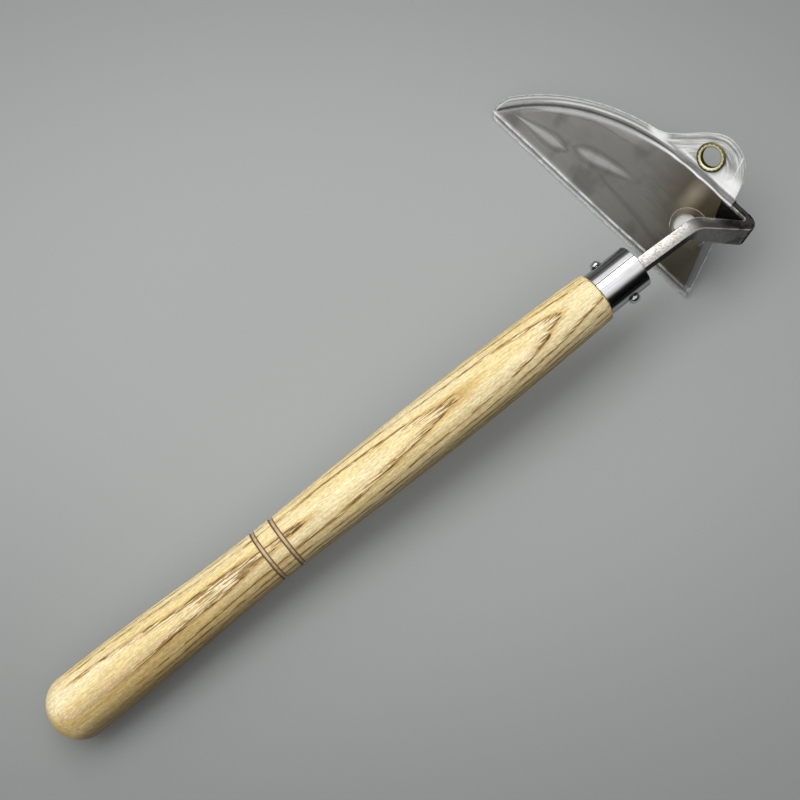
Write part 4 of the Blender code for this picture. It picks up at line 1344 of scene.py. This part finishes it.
EYELET_BORE = 0.0100
EYELET_FLANGE = 0.0147
EYELET_ROUND = 0.0002
EYELET_CREST = 0.0007
CURL_WIDTH = 0.0008
CURL_DEPTH = 0.0007
CURL_BEHIND = 0.0009
WASHER_DIAMETER = 0.0148
WASHER_TEETH = 18
WASHER_THICKNESS = 0.0005
TOOTH_DEPTH = 0.0003
BRIGHT_BRASS = (0.99, 0.96, 0.62)
WORN_BRASS = (0.78, 0.70, 0.34)
TARNISH_AND_SHADE = (0.10, 0.085, 0.03)
eyelet_place = blade_frame @ Matrix.Translation((*EYELET_SPOT, 0.0)) @ Matrix.Rotation(
    radians(-90.0), 4, "Y")


def eyelet_mesh():
    """The domed flange in front, the straight barrel and the curl behind."""
    bore = 0.5 * EYELET_BORE
    flange = 0.5 * EYELET_FLANGE
    front = GAP + FILM + EYELET_ROUND
    back = -FILM - CURL_BEHIND
    middle = 0.5 * (bore + flange)
    half = 0.5 * (flange - bore)
    points = [(front, bore + CURL_DEPTH), (front, flange - EYELET_ROUND)]
    for turn in range(-10, 181, 14):
        angle = radians(turn)
        rise = (EYELET_CREST - EYELET_ROUND) * max(0.0, sin(angle)) ** 0.8
        points.append((front + EYELET_ROUND + rise, middle + half * cos(angle)))
    points += [(0.5 * front, bore), (back, bore)]
    points += arc(back, bore + CURL_WIDTH, -CURL_DEPTH, -CURL_WIDTH, range(0, 181, 20))
    points += [(back + EYELET_ROUND, bore + CURL_DEPTH), (front, bore + CURL_DEPTH)]
    return spun(points, 72)


def washer_mesh():
    tooth = (TOOTH_DEPTH, 0.0, -TOOTH_DEPTH, 0.0)
    rim_points = []
    for step in range(WASHER_TEETH * 4):
        angle = 2.0 * pi * step / (WASHER_TEETH * 4)
        radius = 0.5 * WASHER_DIAMETER + tooth[step % 4]
        rim_points.append((radius * cos(angle), radius * sin(angle)))
    hole = round_hole(0.0, 0.0, EYELET_HOLE, 48)
    return facing_out(holed_plate(rim_points, hole, WASHER_THICKNESS))


def pale_brass():
    """Pale brass, darkened in the bore and, with a ragged edge, towards the rim, by tarnish and
    painted shade.
    """
    material, shader = new_material("pale polished brass", 0.2, 1.0)
    place = own_place(shader, eyelet_place)
    _, y, z = axes(place)
    wear = cloudy(place, (700.0, 700.0, 700.0))
    radius = away_from(in_plane(y, z))
    teeth = figure("SINE", times(figure("ARCTAN2", y, z), float(WASHER_TEETH)))
    ragged = plus(radius, times(teeth, 0.00014))
    # Tarnish and painted shade: dark in the bore and in a ragged ring towards the rim.
    tarnish_and_shade = most(rising(radius, 0.0051, 0.0054, 0.94, 0.0),
                   rising(ragged, 0.0062, 0.0065, 0.0, 0.95))
    colour = tinted(rising(wear, 0.40, 0.75), BRIGHT_BRASS, WORN_BRASS)
    colour = tinted(tarnish_and_shade, colour, TARNISH_AND_SHADE)
    dress(shader, Base_Color=colour, Specular_Tint=colour,
          Roughness=rising(wear, 0.3, 0.7, 0.42, 0.55))
    bumped(shader, wear, 0.00006, 0.5)
    return material


brass = pale_brass()
finish_piece("brass_eyelet", eyelet_mesh(), eyelet_place, brass, "cover", "pale_brass", "eyelet")
washer_place = blade_frame @ Matrix.Translation((*EYELET_SPOT, -FILM - GAP))
finish_piece("toothed_washer", washer_mesh(), washer_place, brass, "cover", "pale_brass",
             "eyelet_washer")


# Floor, lamps and camera
# The hoe lies on a plain matt grey board. One large soft lamp stands for a window on its
# left, a ceiling light is brightest overhead and to the left, and the rest of the room is
# dark. The camera looks down at a slant, as in the photo.

FLOOR_COLOUR = (0.343, 0.355, 0.350)
FLOOR_BRIGHTEST = (0.012, 0.034, 0.0)
FLOOR_STRETCH = (0.70, 1.15, 0.0)
VIEW_TURN = radians(-38.06)
VIEW_TILT = radians(14.0)
FLOOR_FALL = 0.62
LAMP_PLACE = Vector((-0.05, 0.55, 1.51))
LAMP_SIZE = (1.9, 0.85)
LAMP_POWER = 15.5
ROOM_SHOWN = (0.16, 0.165, 0.162)
CEILING_LEVEL = 1.16
# Degrees from straight up, towards the right of the hoe, and how bright the ceiling is there.
CEILING = ((-180.0, 0.01), (-92.0, 0.01), (-80.0, 0.10), (-70.0, 0.14), (-57.0, 0.85), (-20.0, 1.0),
           (8.0, 0.97), (28.0, 0.87), (38.0, 0.62), (47.0, 0.22), (55.0, 0.02), (70.0, 0.004),
           (180.0, 0.006))


def matt_board():
    """A finely grained grey with a painted pool of light: brightest near the hoe and falling off round
    it.
    """
    material, shader = new_material("matt grey board", 0.75)
    grain = cloudy(own_place(shader, Matrix.Identity(4)), (900.0, 900.0, 900.0), 2.0, 0.5)
    dull, fair = (tuple(level * channel for channel in FLOOR_COLOUR) for level in (0.99, 1.01))
    spot = Matrix.Translation(FLOOR_BRIGHTEST) @ Matrix.Rotation(VIEW_TURN, 4, "Z")
    off = away_from(stretched(own_place(shader, spot), FLOOR_STRETCH))
    shade = tinted(rising(grain, 0.3, 0.7), dull, fair)
    # Painted pool of light: the grey darkens away from a spot near the hoe.
    shade = tinted(1.0, shade, rising(off, 0.06, 0.36, 1.0, FLOOR_FALL), "MULTIPLY")
    dress(shader, Base_Color=shade, Specular_IOR_Level=0.25)
    return material


board_mesh = bmesh.new()
bmesh.ops.create_grid(board_mesh, x_segments=2, y_segments=2, size=6.0)
board = in_scene("board", stored("board", board_mesh))
board.data.materials.append(matt_board())

window = bpy.data.lights.new("left window", "AREA")
window.shape = "RECTANGLE"
window.size, window.size_y = LAMP_SIZE
window.energy = LAMP_POWER
lamp = in_scene("left window", window)
lamp.location = LAMP_PLACE
lamp.rotation_euler = (-LAMP_PLACE).to_track_quat("-Z", "Y").to_euler()


def dim_room():
    """A dark room whose soft ceiling light is brightest overhead and to the left."""
    world = bpy.data.worlds.new("dark room")
    world.use_nodes = True
    bpy.context.scene.world = world
    nodes = world.node_tree.nodes
    nodes.clear()
    x, y, z = axes(nodes.new("ShaderNodeTexCoord").outputs["Generated"])
    turn = figure("DIVIDE", figure("ARCTAN2", times(y, -1.0), z), 2.0 * pi)
    ramp = node("ShaderNodeValToRGB", plus(turn, 0.5))
    ramp.color_ramp.interpolation = "EASE"
    stops = ramp.color_ramp.elements
    while len(stops) < len(CEILING):
        stops.new(0.5)
    for stop, (degrees, level) in zip(stops, CEILING):
        stop.position = degrees / 360.0 + 0.5
        stop.color = (level, level, level, 1.0)
    ends = times(rising(x, 0.25, 0.85, 1.0, 0.12), rising(x, -1.0, -0.6, 0.35, 1.0))
    strength = times(ramp.outputs["Color"], ends, CEILING_LEVEL)
    room = node("ShaderNodeBackground", (1.0, 1.0, 1.0), strength)
    seen = nodes.new("ShaderNodeBackground")
    dress(seen, Color=ROOM_SHOWN)
    from_camera = nodes.new("ShaderNodeLightPath").outputs["Is Camera Ray"]
    either = node("ShaderNodeMixShader", from_camera, room.outputs[0], seen.outputs[0])
    node("ShaderNodeOutputWorld", either.outputs[0])


dim_room()

lens = bpy.data.cameras.new("camera")
lens.lens = 56.25
lens.sensor_width = 36.0
camera = in_scene("camera", lens)
camera.location = (-0.079492, -0.141863, 0.6064)
camera.rotation_euler = (VIEW_TILT, 0.0, VIEW_TURN)
bpy.context.scene.camera = camera
bpy.context.scene.view_settings.view_transform = "Standard"
